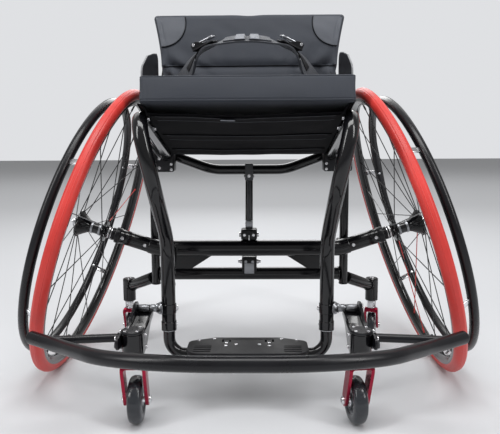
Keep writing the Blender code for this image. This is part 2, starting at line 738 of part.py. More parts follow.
for side, tag in ((1, "left"), (-1, "right")):
    corners = [
        (POST_X, POST_Y, POST_LOW_Z),
        (POST_X, POST_Y, POST_BEND_Z),
        (CANE_LOW_X, back_y(BACK_LOW_Z) + cane_set, BACK_LOW_Z),
        (CANE_TOP_X, back_y(CANE_TOP_Z) + cane_set, CANE_TOP_Z),
    ]
    corners = [mirrored(point, side) for point in corners]
    tube(f"seat_post_{tag}", filleted(corners, (0.09, 0.12), 3), POST_RADIUS, GLOSS_BLACK, 2)
    low = Vector((side * POST_X, POST_Y, BAR_Z - 0.05))
    high = Vector((side * POST_X, POST_Y, POST_BEND_Z + 0.004))

    place_y = BAR_RADIUS + SEAT_GAP + POST_CLAMP_SIZE[1] / 2
    centre = (side * POST_X, place_y, BAR_Z)
    clamp = block(f"post_clamp_{tag}", POST_CLAMP_SIZE, centre, SATIN_BLACK, bevel=0.003)
    boolean(clamp, "DIFFERENCE", [hole(f"post_hole_{tag}", low, low + Vector((0, 0, 0.1)), POST_RADIUS)])

    width = SEAT_CLAMP_OUT - SEAT_CLAMP_IN
    centre = (side * (SEAT_CLAMP_IN + width / 2), POST_Y, clamp_z)
    size = (width, SEAT_CLAMP_DEPTH, SEAT_CLAMP_HEIGHT)
    clamp = block(f"seat_clamp_{tag}", size, centre, SATIN_BLACK, bevel=0.004)
    rail_ends = [(side * RAIL_BACK[0], y, rail_z(y)) for y in (POST_Y - 0.05, POST_Y + 0.05)]
    post_ends = [(side * POST_X, POST_Y, clamp_z + offset) for offset in (-0.05, 0.05)]
    cuts = [hole(f"rail_hole_{tag}", *rail_ends, FRAME_RADIUS, SEAT_GAP + 0.0004)]
    cuts.append(hole(f"post_seat_{tag}", *post_ends, POST_RADIUS))
    boolean(clamp, "DIFFERENCE", cuts)

end_x, end_z = BACKBAR_END
half = [(end_x, backbar_y, end_z), (BACKBAR_FLAT_X, backbar_y, BACKBAR_Z)]
corners = half + [mirrored(point, -1) for point in reversed(half)]
tube("rear_crossbar", filleted(corners, (0.12, 0.12), 4), BACKBAR_RADIUS, GLOSS_BLACK, 2)

# strut with a clevis round the curved crossbar, standing in a clamp on the camber bar
clamp_top = BAR_Z + BAR_RADIUS + SEAT_GAP + STRUT_CLAMP_SIZE[2]
clamp_mid = clamp_top - STRUT_CLAMP_SIZE[2] / 2
centre = (0, STRUT_FOOT_Y / 2, clamp_mid)
strut_clamp = block("strut_clamp", STRUT_CLAMP_SIZE, centre, SATIN_BLACK, bevel=0.003)
bolt = ((-STRUT_CLAMP_SIZE[0] / 2 - 0.005, 0, clamp_mid), (STRUT_CLAMP_SIZE[0] / 2 + 0.005, 0, clamp_mid))
boolean(strut_clamp, "UNION", [rod("strut_clamp_bolt", *bolt, STRUT_BOLT, None, 8, cutters)])

clevis_z = BACKBAR_Z + BACKBAR_RADIUS + 0.004 - CLEVIS_HEIGHT / 2
clevis_size = (CLEVIS_WIDTH, 2 * BACKBAR_RADIUS + 0.008, CLEVIS_HEIGHT)
strut = block("strut", clevis_size, (0, backbar_y, clevis_z), GREY_METAL, bevel=0.003)
foot_size = (0.016, 0.018, 0.016)
foot_z = clamp_top + SEAT_GAP + foot_size[2] / 2
foot = block("strut_foot", foot_size, (0, STRUT_FOOT_Y, foot_z), collection=cutters)
ends = ((0, STRUT_FOOT_Y, foot_z), (0, backbar_y, clevis_z - 0.010))
stem = rod("strut_stem", *ends, STRUT_RADIUS, None, 10, cutters)
boolean(strut, "UNION", [stem, foot])
bar_ends = [(x, backbar_y, BACKBAR_Z) for x in (-0.03, 0.03)]
boolean(strut, "DIFFERENCE", [hole("clevis_hole", *bar_ends, BACKBAR_RADIUS)])


# casters: a fork with its stem, swivelling in a housing, and a wheel on a bolt between its legs
def side_frame_at(x):
    """A frame whose XY plane is the chair's YZ plane at this place."""
    return axes((0, 1, 0), (1, 0, 0), (x, 0, 0))


def capsule(start, end, radius_a, radius_b, steps=5):
    """A flat outline round two circles."""
    start, end = Vector(start), Vector(end)
    along = (end - start).normalized()
    angle = math.atan2(along.y, along.x)
    lean = math.acos((radius_a - radius_b) / (end - start).length)
    outline = []
    for centre, radius, low, high in (
        (end, radius_b, angle - lean, angle + lean),
        (start, radius_a, angle + lean, angle - lean + math.tau),
    ):
        for i in range(steps + 1):
            turn = low + (high - low) * i / steps
            outline.append((centre.x + radius * math.cos(turn), centre.y + radius * math.sin(turn)))
    return outline


def caster(place_name, tag, spec, finish, wheel_finish):
    """The fork and the wheel of one caster, below the empty that stands on its swivel axis."""
    swivel = bpy.data.objects.new(f"{place_name}_swivel_{tag}", None)
    parts.objects.link(swivel)
    swivel.parent = axle_line
    swivel.location = (*spec["at"], 0)
    swivel.rotation_euler.z = spec["yaw"]

    axle = Vector((0, spec["trail"], spec["wheel"] + spec["lift"]))
    crown_z = spec["crown"]
    crown_size = (spec["width"], 2 * spec["leg_radius"], 0.010)
    fork = block(
        f"{place_name}_fork_{tag}", crown_size, (0, 0, crown_z - 0.005), finish, bevel=0.0025, parent=swivel
    )
    pieces = []
    leg_x = (spec["width"] - spec["leg"]) / 2
    for way in (1, -1):
        outline = capsule((0, crown_z - 0.012), axle.yz, spec["leg_radius"], spec["leg_radius"], 4)
        frame = side_frame_at(way * (leg_x - 0.0001))
        name = f"{place_name}_leg_{tag}_{way}"
        pieces.append(slab(name, outline, spec["leg"], None, frame, cutters, swivel))
    reach = spec["width"] / 2
    bolt_ends = ((-reach - 0.0035, axle.y, axle.z), (reach + 0.0035, axle.y, axle.z))
    pieces.append(rod(f"{place_name}_bolt_{tag}", *bolt_ends, spec["bolt"], None, 12, cutters, swivel))
    shoulder = spec["housing_z"] - SEAT_GAP
    stem = [(0, 0, crown_z - 0.003), (0, 0, spec["stem_top"])]
    spacer = [(0, 0, crown_z - 0.003), (0, 0, shoulder)]
    wide = spec["stem"] + 0.0045
    pieces.append(rod(f"{place_name}_spacer_{tag}", *spacer, wide, None, 12, cutters, swivel))
    pieces.append(rod(f"{place_name}_stem_{tag}", *stem, spec["stem"], None, 12, cutters, swivel))
    boolean(fork, "UNION", pieces)

    half = spec["wheel_width"] / 2
    side_gap = spec["width"] / 2 - spec["leg"] - SEAT_GAP
    inside = bore(spec["bolt"], RUN_GAP, 12)
    radius = spec["wheel"]
    profile = [
        (radius - 0.004, half),
        (radius, half * 0.45),
        (radius, -half * 0.45),
        (radius - 0.004, -half),
        (spec["bolt"] + 0.006, -side_gap),
        (inside, -side_gap),
        (inside, side_gap),
        (spec["bolt"] + 0.006, side_gap),
    ]
    frame = axes((0, 0, -1), (1, 0, 0), axle)
    turned(f"{place_name}_wheel_{tag}", profile, 20, wheel_finish, frame, True, parent=swivel)


for side, tag in ((1, "left"), (-1, "right")):
    front = {
        "at": (side * FRONT_X, FRONT_STEM_Y),
        "yaw": FRONT_YAW[tag],
        "trail": FRONT_TRAIL,
        "wheel": FRONT_WHEEL_RADIUS,
        "wheel_width": FRONT_WHEEL_WIDTH,
        "lift": 0.0,
        "width": FRONT_FORK_WIDTH,
        "leg": FRONT_LEG,
        "leg_radius": FRONT_LEG_RADIUS,
        "crown": FRONT_CROWN_Z,
        "stem": FRONT_STEM_RADIUS,
        "stem_top": HOUSING_TOP_Z - HOUSING_WALL - SEAT_GAP,
        "housing_z": HOUSING_LOW_Z,
        "bolt": 0.0040,
    }
    caster("front", tag, front, RED_ALLOY, SMOKE_WHEEL)
    rear = {
        "at": (side * REAR_X, REAR_STEM_Y),
        "yaw": REAR_YAW[tag],
        "trail": REAR_TRAIL,
        "wheel": REAR_WHEEL_RADIUS,
        "wheel_width": REAR_WHEEL_WIDTH,
        "lift": REAR_WHEEL_LIFT,
        "width": REAR_FORK_WIDTH,
        "leg": REAR_LEG,
        "leg_radius": REAR_LEG_RADIUS,
        "crown": REAR_CROWN_Z,
        "stem": REAR_STEM_RADIUS,
        "stem_top": REAR_HOUSING_TOP_Z - REAR_HOUSING_WALL - SEAT_GAP,
        "housing_z": REAR_HOUSING_LOW_Z,
        "bolt": 0.0035,
    }
    caster("rear", tag, rear, RED_ALLOY, SMOKE_WHEEL)

    # front housing with two side plates back to the cross bolt
    inside = bore(FRONT_STEM_RADIUS, RUN_GAP)
    ceiling = HOUSING_TOP_Z - HOUSING_WALL
    housing = [
        (0, HOUSING_TOP_Z + CAP_THICKNESS),
        (CAP_RADIUS, HOUSING_TOP_Z + CAP_THICKNESS),
        (CAP_RADIUS, HOUSING_TOP_Z),
        (HOUSING_RADIUS, HOUSING_TOP_Z),
        (HOUSING_RADIUS, HOUSING_LOW_Z),
        (inside, HOUSING_LOW_Z),
        (inside, ceiling),
        (0, ceiling),
    ]
    frame = Matrix.Translation((side * FRONT_X, FRONT_STEM_Y, 0))
    mount = turned(f"caster_mount_{tag}", housing, 20, BLACK_PLASTIC, frame)
    corners = [
        (FRONT_STEM_Y, HOUSING_TOP_Z - 0.004),
        (FRONT_STEM_Y + 0.045, HOUSING_TOP_Z - 0.002),
        (LEG_Y - 0.014, CROSS_BOLT_Z + 0.014),
        (LEG_Y + 0.012, CROSS_BOLT_Z + 0.014),
        (LEG_Y + 0.012, CROSS_BOLT_Z - 0.013),
        (LEG_Y - 0.020, CROSS_BOLT_Z - 0.018),
        (FRONT_STEM_Y + 0.040, HOUSING_LOW_Z + 0.018),
        (FRONT_STEM_Y, HOUSING_LOW_Z + 0.006),
    ]
    outline = rounded_outline(corners, (0, 0.03, 0.012, 0.011, 0.011, 0.02, 0.03, 0), 2)
    plates = []
    for way in (1, -1):
        frame = side_frame_at(side * FRONT_X + way * MOUNT_PLATE_OFFSET)
        plates.append(slab(f"mount_plate_{tag}_{way}", outline, MOUNT_PLATE, None, frame, cutters))
    boolean(mount, "UNION", plates)
    bolt_out = FRONT_X + MOUNT_PLATE_OFFSET + MOUNT_PLATE / 2 + SEAT_GAP
    bolt_hole = [(side * x, LEG_Y, CROSS_BOLT_Z) for x in (FRONT_X - 0.03, FRONT_X + 0.03)]
    stem_hole = [(side * FRONT_X, FRONT_STEM_Y, z) for z in (HOUSING_LOW_Z - 0.01, ceiling)]
    cuts = [
        hole(f"cross_bolt_hole_{tag}", *bolt_hole, CROSS_BOLT_RADIUS, sides=12),
        rod(f"stem_hole_{tag}", *stem_hole, inside, None, 16, cutters),
    ]
    boolean(mount, "DIFFERENCE", cuts)

    half = CROSS_CLAMP_HEIGHT / 2
    inner = bore(FRAME_RADIUS)
    ring = [
        (CROSS_CLAMP_RADIUS - 0.002, half),
        (CROSS_CLAMP_RADIUS, half - 0.002),
        (CROSS_CLAMP_RADIUS, 0.002 - half),
        (CROSS_CLAMP_RADIUS - 0.002, -half),
        (inner, -half),
        (inner, half),
    ]
    frame = Matrix.Translation((side * LEG_X, LEG_Y, CROSS_BOLT_Z))
    clamp = turned(f"cross_clamp_{tag}", ring, 16, GREY_METAL, frame, True)
    rods = []
    ring_x = LEG_X + CROSS_CLAMP_RADIUS
    for name, low, high, radius in (
        ("shank", ring_x - 0.003, bolt_out + 0.001, CROSS_BOLT_RADIUS),
        ("collar", ring_x + 0.003, ring_x + 0.0065, CROSS_BOLT_RADIUS + 0.003),
        ("head", bolt_out, bolt_out + 0.004, CROSS_BOLT_RADIUS + 0.003),
    ):
        ends = [(side * x, LEG_Y, CROSS_BOLT_Z) for x in (low, high)]
        rods.append(rod(f"cross_{name}_{tag}", *ends, radius, None, 12, cutters))
    boolean(clamp, "UNION", rods)

    # anti-tip arm from the foot of the seat post out to its housing
    post = Vector((side * POST_X, POST_Y, REAR_ARM_START_Z))
    far = Vector((side * REAR_X, REAR_STEM_Y, REAR_ARM_END_Z))
    flat = Vector((far.x - post.x, far.y - post.y, 0))
    slope = math.atan2(REAR_ARM_START_Z - REAR_ARM_END_Z, flat.length)
    first = POST_RADIUS + SEAT_GAP + REAR_ARM_RADIUS * math.sin(slope) - 0.0010
    start = post + (far - post) * first / flat.length
    inside = bore(REAR_STEM_RADIUS, RUN_GAP)
    ceiling = REAR_HOUSING_TOP_Z - REAR_HOUSING_WALL
    housing = [
        (0, REAR_HOUSING_TOP_Z),
        (REAR_HOUSING_RADIUS - 0.002, REAR_HOUSING_TOP_Z),
        (REAR_HOUSING_RADIUS, REAR_HOUSING_TOP_Z - 0.002),
        (REAR_HOUSING_RADIUS, REAR_HOUSING_LOW_Z),
        (inside, REAR_HOUSING_LOW_Z),
        (inside, ceiling),
        (0, ceiling),
    ]
    frame = Matrix.Translation((side * REAR_X, REAR_STEM_Y, 0))
    arm = turned(f"anti_tip_arm_{tag}", housing, 16, SATIN_BLACK, frame)
    boolean(arm, "UNION", [rod(f"anti_tip_tube_{tag}", start, far, REAR_ARM_RADIUS, None, 12, cutters)])
    stem_hole = [(side * REAR_X, REAR_STEM_Y, z) for z in (REAR_HOUSING_LOW_Z - 0.01, ceiling)]
    boolean(arm, "DIFFERENCE", [rod(f"arm_stem_hole_{tag}", *stem_hole, inside, None, 16, cutters)])


# bumper: a bent tube rising a little to the front, on two return struts with bolted plates
def bumper_z(y):
    rise = (BUMPER_TOP_Z - BUMPER_WING_Z) / (BUMPER_REACH + BUMPER_WING[1])
    return BUMPER_WING_Z + max(0.0, BUMPER_WING[1] - y) * rise


half = [BUMPER_TIP, BUMPER_WING, (0.2080, -0.4380), (0.1100, -BUMPER_REACH)]
half = [(x, y, bumper_z(y)) for x, y in half]
corners = half + [mirrored(point, -1) for point in reversed(half)]
bends = (0.25, 0.16, 0.32, 0.32, 0.16, 0.25)
bumper = tube("bumper", filleted(corners, bends, 4), BUMPER_RADIUS, SATIN_BLACK, 3)
plate_x = FRONT_X + HOUSING_RADIUS + SEAT_GAP
extras = []
for side, tag in ((1, "left"), (-1, "right")):
    inner = (side * (plate_x + BUMPER_PLATE / 2), FRONT_STEM_Y - 0.002, BUMPER_WING_Z - 0.001)
    outer = (side * RETURN_REACH[0], RETURN_REACH[1], BUMPER_WING_Z)
    extras.append(rod(f"return_strut_{tag}", inner, outer, RETURN_RADIUS, None, 10, cutters))
    corners = [
        (FRONT_STEM_Y - 0.030, BUMPER_WING_Z - 0.014),
        (FRONT_STEM_Y + 0.020, BUMPER_WING_Z - 0.019),
        (FRONT_STEM_Y + 0.020, HOUSING_TOP_Z - SEAT_GAP - 0.001),
        (FRONT_STEM_Y - 0.030, HOUSING_TOP_Z - SEAT_GAP - 0.003),
    ]
    outline = rounded_outline(corners, (0.008, 0.008, 0.006, 0.008), 2)
    frame = side_frame_at(side * (plate_x + BUMPER_PLATE / 2))
    extras.append(slab(f"bumper_plate_{tag}", outline, BUMPER_PLATE, None, frame, cutters))
boolean(bumper, "UNION", extras)

# footrest: a U tube in the legs' sockets, and a slotted plate clamped on its crossing
top = LEG_END_Z + SOCKET_DEPTH - 0.001
half = [(LEG_X, LEG_Y, top), (LEG_X, LEG_Y, FOOT_Z)]
corners = half + [mirrored(point, -1) for point in reversed(half)]
tube("footrest", filleted(corners, (FOOT_BEND, FOOT_BEND), 4), FOOT_TUBE, GLOSS_BLACK, 2)

front = LEG_Y - FOOTPLATE_FRONT
back = LEG_Y + FOOTPLATE_BACK
corners = [
    (-FOOTPLATE_HALF, front),
    (FOOTPLATE_HALF, front),
    (FOOTPLATE_HALF, back - FOOTPLATE_SHOULDER),
    (FOOTPLATE_HALF * 0.55, back),
    (-FOOTPLATE_HALF * 0.55, back),
    (-FOOTPLATE_HALF, back - FOOTPLATE_SHOULDER),
]
loops = [rounded_outline(corners, FOOTPLATE_BENDS, 3)]
for side in (1, -1):
    for i in range(GRIP_SLOTS):
        mid = side * (FOOTPLATE_HALF - GRIP_SLOT_EDGE - GRIP_SLOT_LENGTH / 2)
        y = front + GRIP_SLOT_EDGE + GRIP_SLOT_STEP * i
        reach = GRIP_SLOT_LENGTH / 2 - GRIP_SLOT_WIDTH / 2
        round_end = GRIP_SLOT_WIDTH / 2
        loops.append(capsule((mid - reach, y), (mid + reach, y), round_end, round_end, 2))
plate_z = FOOT_Z + FOOT_TUBE + SEAT_GAP + FOOTPLATE_THICKNESS / 2
footplate = slab("footplate", loops, FOOTPLATE_THICKNESS, BLACK_PLASTIC, Matrix.Translation((0, 0, plate_z)))
saddles = []
for side, tag in ((1, "left"), (-1, "right")):
    centre = (side * FOOT_CLAMP_X, LEG_Y, plate_z - FOOT_SADDLE_DROP)
    saddles.append(block(f"foot_saddle_{tag}", FOOT_SADDLE, centre, collection=cutters))
boolean(footplate, "UNION", saddles)
ends = [(x, LEG_Y, FOOT_Z) for x in (-FOOT_CLAMP_X - FOOT_SADDLE[0], FOOT_CLAMP_X + FOOT_SADDLE[0])]
boolean(footplate, "DIFFERENCE", [hole("footrest_hole", *ends, FOOT_TUBE, 0.0002)])


# soft parts
def soft_block(name, cuts, shape, finish, levels=0):
    """A divided box whose points, each from -1 to 1, go where the given shape puts them."""
    mesh = bpy.data.meshes.new(name)
    cage = bmesh.new()
    bmesh.ops.create_cube(cage, size=2)
    bmesh.ops.subdivide_edges(cage, edges=cage.edges, cuts=cuts, use_grid_fill=True)
    for vert in cage.verts:
        vert.co = shape(*vert.co)
    bmesh.ops.recalc_face_normals(cage, faces=cage.faces)
    cage.to_mesh(mesh)
    cage.free()
    obj = place(bpy.data.objects.new(name, mesh), finish)
    if levels:
        smooth = obj.modifiers.new("smooth", "SUBSURF")
        smooth.levels = smooth.render_levels = levels
    return obj


def sheet(name, columns, rows, shape, thickness, finish):
    """A grid of points, each from -1 to 1, put where the given shape says and given a thickness."""
    mesh = bpy.data.meshes.new(name)
    cage = bmesh.new()
    bmesh.ops.create_grid(cage, x_segments=columns, y_segments=rows, size=1)
    for vert in cage.verts:
        vert.co = shape(vert.co.x, vert.co.y)
    cage.to_mesh(mesh)
    cage.free()
    obj = place(bpy.data.objects.new(name, mesh), finish)
    skin = obj.modifiers.new("thickness", "SOLIDIFY")
    skin.thickness = thickness
    skin.offset = 0
    skin.use_even_offset = True
    return obj


def tight(u):
    """Draws the rows of a cage towards its edges."""
    return math.sin(math.pi / 2 * u)


seat_along = Vector((0, math.cos(SEAT_SLOPE), -math.sin(SEAT_SLOPE)))
seat_up = Vector((0, math.sin(SEAT_SLOPE), math.cos(SEAT_SLOPE)))


def cushion_shape(u, v, w):
    """A firm boxed pad: flat underneath, crowned on top, its sides a little drawn in."""
    crown = CUSHION_CROWN * (1 - u * u) * (1 - v * v)
    across = tight(tight(u)) * (CUSHION_HALF - 0.0015 * w * w)
    along = (tight(tight(v)) + 1) / 2 * CUSHION_LENGTH
    up = (tight(w) + 1) / 2 * CUSHION_THICKNESS + (crown if w > 0 else 0) * (w + 1) / 2
    rest = rail_z(CUSHION_FRONT_Y) + rail_top + SLING_THICKNESS + CUSHION_SETTLE
    foot = Vector((across, CUSHION_FRONT_Y, rest))
    return foot + seat_along * along + seat_up * up


soft_block("cushion", 4, cushion_shape, GREY_FABRIC, 1)


def rail_x(y):
    """The rail's distance from the middle at a place along it."""
    share = (RAIL_BACK[1] - y) / (RAIL_BACK[1] - RAIL_FRONT[1])
    return RAIL_BACK[0] + (RAIL_FRONT[0] - RAIL_BACK[0]) * share


def sling_shape(u, v):
    """Hangs in a curve between the rails, and each edge wraps up round the inside of its rail."""
    y = SLING_FRONT_Y + (SLING_BACK_Y - SLING_FRONT_Y) * (v + 1) / 2
    hem = 0.6
    radius = FRAME_RADIUS + SEAT_GAP + SLING_THICKNESS / 2 + 0.0003
    if abs(u) <= hem:
        share = abs(u) / hem
        x = share * (rail_x(y) - radius)
        z = rail_z(y) - SLING_SAG * (1 - share**2)
    else:
        turn = math.pi - SLING_WRAP * (abs(u) - hem) / (1 - hem)
        x = rail_x(y) + radius * math.cos(turn)
        z = rail_z(y) + radius * math.sin(turn) / math.cos(SEAT_SLOPE)
    return Vector((math.copysign(x, u), y, z))


sheet("seat_sling", 20, 2, sling_shape, SLING_THICKNESS, BLACK_WEB)


def back_shape(u, v, w):
    """The padded panel over a gathered skirt, in one piece: rows below a third are the skirt."""
    seam = -0.25
    x, y = u, tight(v) if v > 0 else v
    if v >= seam:
        rise = (y - seam) / (1 - seam)
        z = BACK_LOW_Z + (BACK_TOP_Z - BACK_LOW_Z) * rise
        half = BACK_HALF_LOW + (BACK_HALF_TOP - BACK_HALF_LOW) * rise ** 1.4
        thick = BACK_THICKNESS * (0.55 + 0.45 * math.sin(math.pi * min(1, 0.12 + rise * 0.8)))
        fold = 0.0
    else:
        drop = (seam - v) / (seam + 1)
        z = BACK_LOW_Z - (BACK_LOW_Z - SKIRT_LOW_Z) * drop
        half = BACK_HALF_LOW - 0.012 * drop
        thick = SKIRT_THICKNESS
        fold = 0.003 * math.cos(u * math.pi * 8) * u * u * min(1, drop * 3)
    crown = 0.004 * (1 - u * u) if w < 0 else 0
    front = back_y(z) + (BACK_THICKNESS - thick) * 0.4 - crown + fold
    return Vector((x * half, front if w < 0 else front + crown + thick, z))


def back_panel():
    mesh = bpy.data.meshes.new("back_upholstery")
    cage = bmesh.new()
    bmesh.ops.create_grid(cage, x_segments=24, y_segments=8, size=1)
    grown = bmesh.ops.extrude_face_region(cage, geom=cage.faces[:] + cage.edges[:] + cage.verts[:])
    fresh = [item for item in grown["geom"] if isinstance(item, bmesh.types.BMVert)]
    for vert in fresh:
        vert.co.z = 1
    for vert in cage.verts:
        u, v = vert.co.x, vert.co.y
        vert.co = back_shape(u, v, 1 if vert.co.z > 0.5 else -1)
    bmesh.ops.recalc_face_normals(cage, faces=cage.faces)
    cage.to_mesh(mesh)
    cage.free()
    return place(bpy.data.objects.new("back_upholstery", mesh), GREY_FABRIC)


back_panel()

guard_x = max(RAIL_BACK[0], RAIL_FRONT[0]) + FRAME_RADIUS + SEAT_GAP + GUARD_THICKNESS / 2
for side, tag in ((1, "left"), (-1, "right")):
    corners = [
        (GUARD_BACK_Y, rail_z(GUARD_BACK_Y) - GUARD_DROP),
        (GUARD_FRONT_Y, rail_z(GUARD_FRONT_Y) - GUARD_DROP),
        GUARD_NOSE,
        GUARD_PEAK,
        (GUARD_BACK_Y, GUARD_BACK_Z),
    ]
    outline = rounded_outline(corners, GUARD_BENDS, 4)
    slab(f"side_guard_{tag}", outline, GUARD_THICKNESS, BLACK_PLASTIC, side_frame_at(side * guard_x))


def smooth_route(points, steps):
    """Points along a curve that passes through the given ones."""
    points = [Vector(point) for point in points]
    ends = [points[0] * 2 - points[1]] + points + [points[-1] * 2 - points[-2]]
    route = []
    for a, b, c, d in zip(ends, ends[1:], ends[2:], ends[3:]):
        for i in range(steps):
            t = i / steps
            bend = (2 * a - 5 * b + 4 * c - d) * t**2 + (3 * b - 3 * c + d - a) * t**3
            route.append(0.5 * (2 * b + (c - a) * t + bend))
    route.append(points[-1])
    return route


def strap_arch(x):
    """Centre of the strap where it arches over the lap."""
    share = min(1.0, abs(x) / STRAP_HALF)
    z = STRAP_FOOT_Z + STRAP_RISE * (1 - share**2.5) ** 0.85
    return Vector((x, -STRAP_ARCH_Y * (2 - share**2), z))


strap_x = (guard_x - GUARD_THICKNESS / 2 + CUSHION_HALF) / 2
strap_low = rail_z(-STRAP_WIDTH / 2) + rail_top + 0.0006
legs = [(strap_x, 0, strap_low), (strap_x, -STRAP_LEAN, strap_low + STRAP_LEG), STRAP_TURN]
arch = [strap_arch(STRAP_HALF * share) for share in (0.97, 0.80, 0.61, 0.40, 0.20)]
half = [Vector(point) for point in legs] + arch
points = half + [strap_arch(0)] + [mirrored(point, -1) for point in reversed(half)]
strap_route = smooth_route(points, 2)


def across_strap(i):
    """Directions along, across and out of the strap at one of its points."""
    along = (strap_route[min(i + 1, len(strap_route) - 1)] - strap_route[max(i - 1, 0)]).normalized()
    across = Vector((0, 1, 0))
    across = (across - along * along.y).normalized()
    return along, across, across.cross(along)


def strap_shape(u, v):
    i = round((u + 1) / 2 * (len(strap_route) - 1))
    return strap_route[i] + across_strap(i)[1] * (v * STRAP_WIDTH / 2)


sheet("pelvic_strap", len(strap_route) - 1, 1, strap_shape, STRAP_THICKNESS, BLACK_WEB)

# ratchet buckles: a base with two ears and a pin, and a lever that turns on the pin
for side, tag in ((1, "left"), (-1, "right")):
    index = min(range(len(strap_route)), key=lambda i: abs(strap_route[i].x - side * BUCKLE_X))
    along, across, out = across_strap(index)
    if out.z < 0:
        out = -out
    uphill = along if along.z > 0 else -along
    seat = STRAP_THICKNESS / 2 + SEAT_GAP + 0.0006
    foot = bpy.data.objects.new(f"buckle_foot_{tag}", None)
    parts.objects.link(foot)
    foot.parent = axle_line
    foot.matrix_local = axes(uphill, out, strap_route[index] + out * seat)

    length, width, thick = BUCKLE_SIZE
    base = block(f"buckle_{tag}", BUCKLE_SIZE, (0, 0, thick / 2), BLACK_PLASTIC, bevel=0.001, parent=foot)
    hinge = Vector((-length / 2 + 0.007, 0, thick + 0.0055))
    pieces = []
    for way in (1, -1):
        centre = (hinge.x, way * (width - BUCKLE_EAR) / 2, thick / 2 + 0.0045)
        pieces.append(
            block(f"buckle_ear_{tag}_{way}", (0.011, BUCKLE_EAR - 0.0004, thick + 0.008), centre, None,
                  collection=cutters, parent=foot)
        )
    reach = Vector((0, width / 2 - BUCKLE_EAR / 2, 0))
    ends = (hinge - reach, hinge + reach)
    pieces.append(rod(f"buckle_pin_{tag}", *ends, BUCKLE_PIN, None, 10, cutters, foot))
    boolean(base, "UNION", pieces)

    axis = bpy.data.objects.new(f"lever_axis_{tag}", None)
    parts.objects.link(axis)
    axis.parent = foot
    axis.location = hinge
    lever_width = width - 2 * BUCKLE_EAR - 2 * SEAT_GAP
    size = (LEVER_LENGTH, lever_width - 0.004, LEVER_THICKNESS)
    barrel = Vector((0, lever_width / 2, 0))
    eye = BUCKLE_PIN + 0.0022
    lever = rod(f"buckle_lever_{tag}", -barrel, barrel, eye, BRIGHT, 12, parent=axis)
    arm = block(f"lever_arm_{tag}", size, (LEVER_LENGTH / 2, 0, 0), collection=cutters, parent=axis)
    boolean(lever, "UNION", [arm])
    eye_hole = hole(f"lever_eye_{tag}", -barrel * 1.3, barrel * 1.3, BUCKLE_PIN, RUN_GAP, 10, axis)
    boolean(lever, "DIFFERENCE", [eye_hole])
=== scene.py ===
import json
import math

import bmesh
import bpy
from mathutils import Matrix, Vector, noise

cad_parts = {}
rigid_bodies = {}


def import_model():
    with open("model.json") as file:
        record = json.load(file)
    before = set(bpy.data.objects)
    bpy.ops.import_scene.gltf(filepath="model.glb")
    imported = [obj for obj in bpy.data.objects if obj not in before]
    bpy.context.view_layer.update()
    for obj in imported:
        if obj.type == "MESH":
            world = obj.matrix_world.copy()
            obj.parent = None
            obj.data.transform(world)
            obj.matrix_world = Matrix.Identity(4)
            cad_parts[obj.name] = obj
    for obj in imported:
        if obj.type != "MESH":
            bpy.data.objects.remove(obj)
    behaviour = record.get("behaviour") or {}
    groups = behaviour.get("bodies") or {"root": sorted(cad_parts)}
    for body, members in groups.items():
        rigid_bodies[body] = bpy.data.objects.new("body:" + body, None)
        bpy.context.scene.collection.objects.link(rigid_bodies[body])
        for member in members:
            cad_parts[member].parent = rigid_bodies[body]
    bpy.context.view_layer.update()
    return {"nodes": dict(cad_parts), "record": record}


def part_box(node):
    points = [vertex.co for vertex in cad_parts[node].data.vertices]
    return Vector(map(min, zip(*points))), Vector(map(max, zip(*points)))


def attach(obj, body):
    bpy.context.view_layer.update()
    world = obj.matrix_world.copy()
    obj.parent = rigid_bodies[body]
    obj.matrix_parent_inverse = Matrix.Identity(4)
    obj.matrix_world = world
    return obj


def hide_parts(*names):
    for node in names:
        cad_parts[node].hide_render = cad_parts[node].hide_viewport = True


bpy.ops.object.select_all(action="SELECT")
bpy.ops.object.delete()

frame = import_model()
axleY = 0.096836  # the main axles' line, as the solids have it
sides = (("Left", 1), ("Right", -1))  # the sitter's left is +X


# camera, floor and lights
photoView = {"place": (0.0204, -1.1188, 0.4638), "lens": 41.71, "down": 6.92, "left": 0.854, "roll": -0.302}

bpy.ops.object.camera_add()
camera = bpy.context.object
camera.matrix_world = (
    Matrix.Translation(photoView["place"])
    @ Matrix.Rotation(math.radians(photoView["left"]), 4, "Z")
    @ Matrix.Rotation(math.radians(90 - photoView["down"]), 4, "X")
    @ Matrix.Rotation(math.radians(photoView["roll"]), 4, "Z")
)
camera.data.lens = photoView["lens"]
camera.data.sensor_width = 36
bpy.context.scene.camera = camera
bpy.context.scene.view_settings.view_transform = "Standard"

studio = {
    "floorColour": (0.62, 0.63, 0.65, 1),
    "worldStrength": 0.34,
    "backdrop": (0.74, 0.75, 0.77, 1),
    # place, aim, width, height, watts
    "lamps": [
        ((-1.9, -1.3, 1.9), (0, 0, 0.4), 0.5, 1.8, 30),
        ((1.9, -1.3, 1.9), (0, 0, 0.4), 0.5, 1.8, 30),
        ((0, -0.5, 2.6), (0, 0, 0.4), 2.0, 0.8, 40),
        ((0, 2.6, 1.8), (0, 0, 0.5), 1.6, 1.0, 20),
        ((0, 4.5, 4.0), (0, 4.5, 0), 8.0, 5.0, 110),
    ],
}


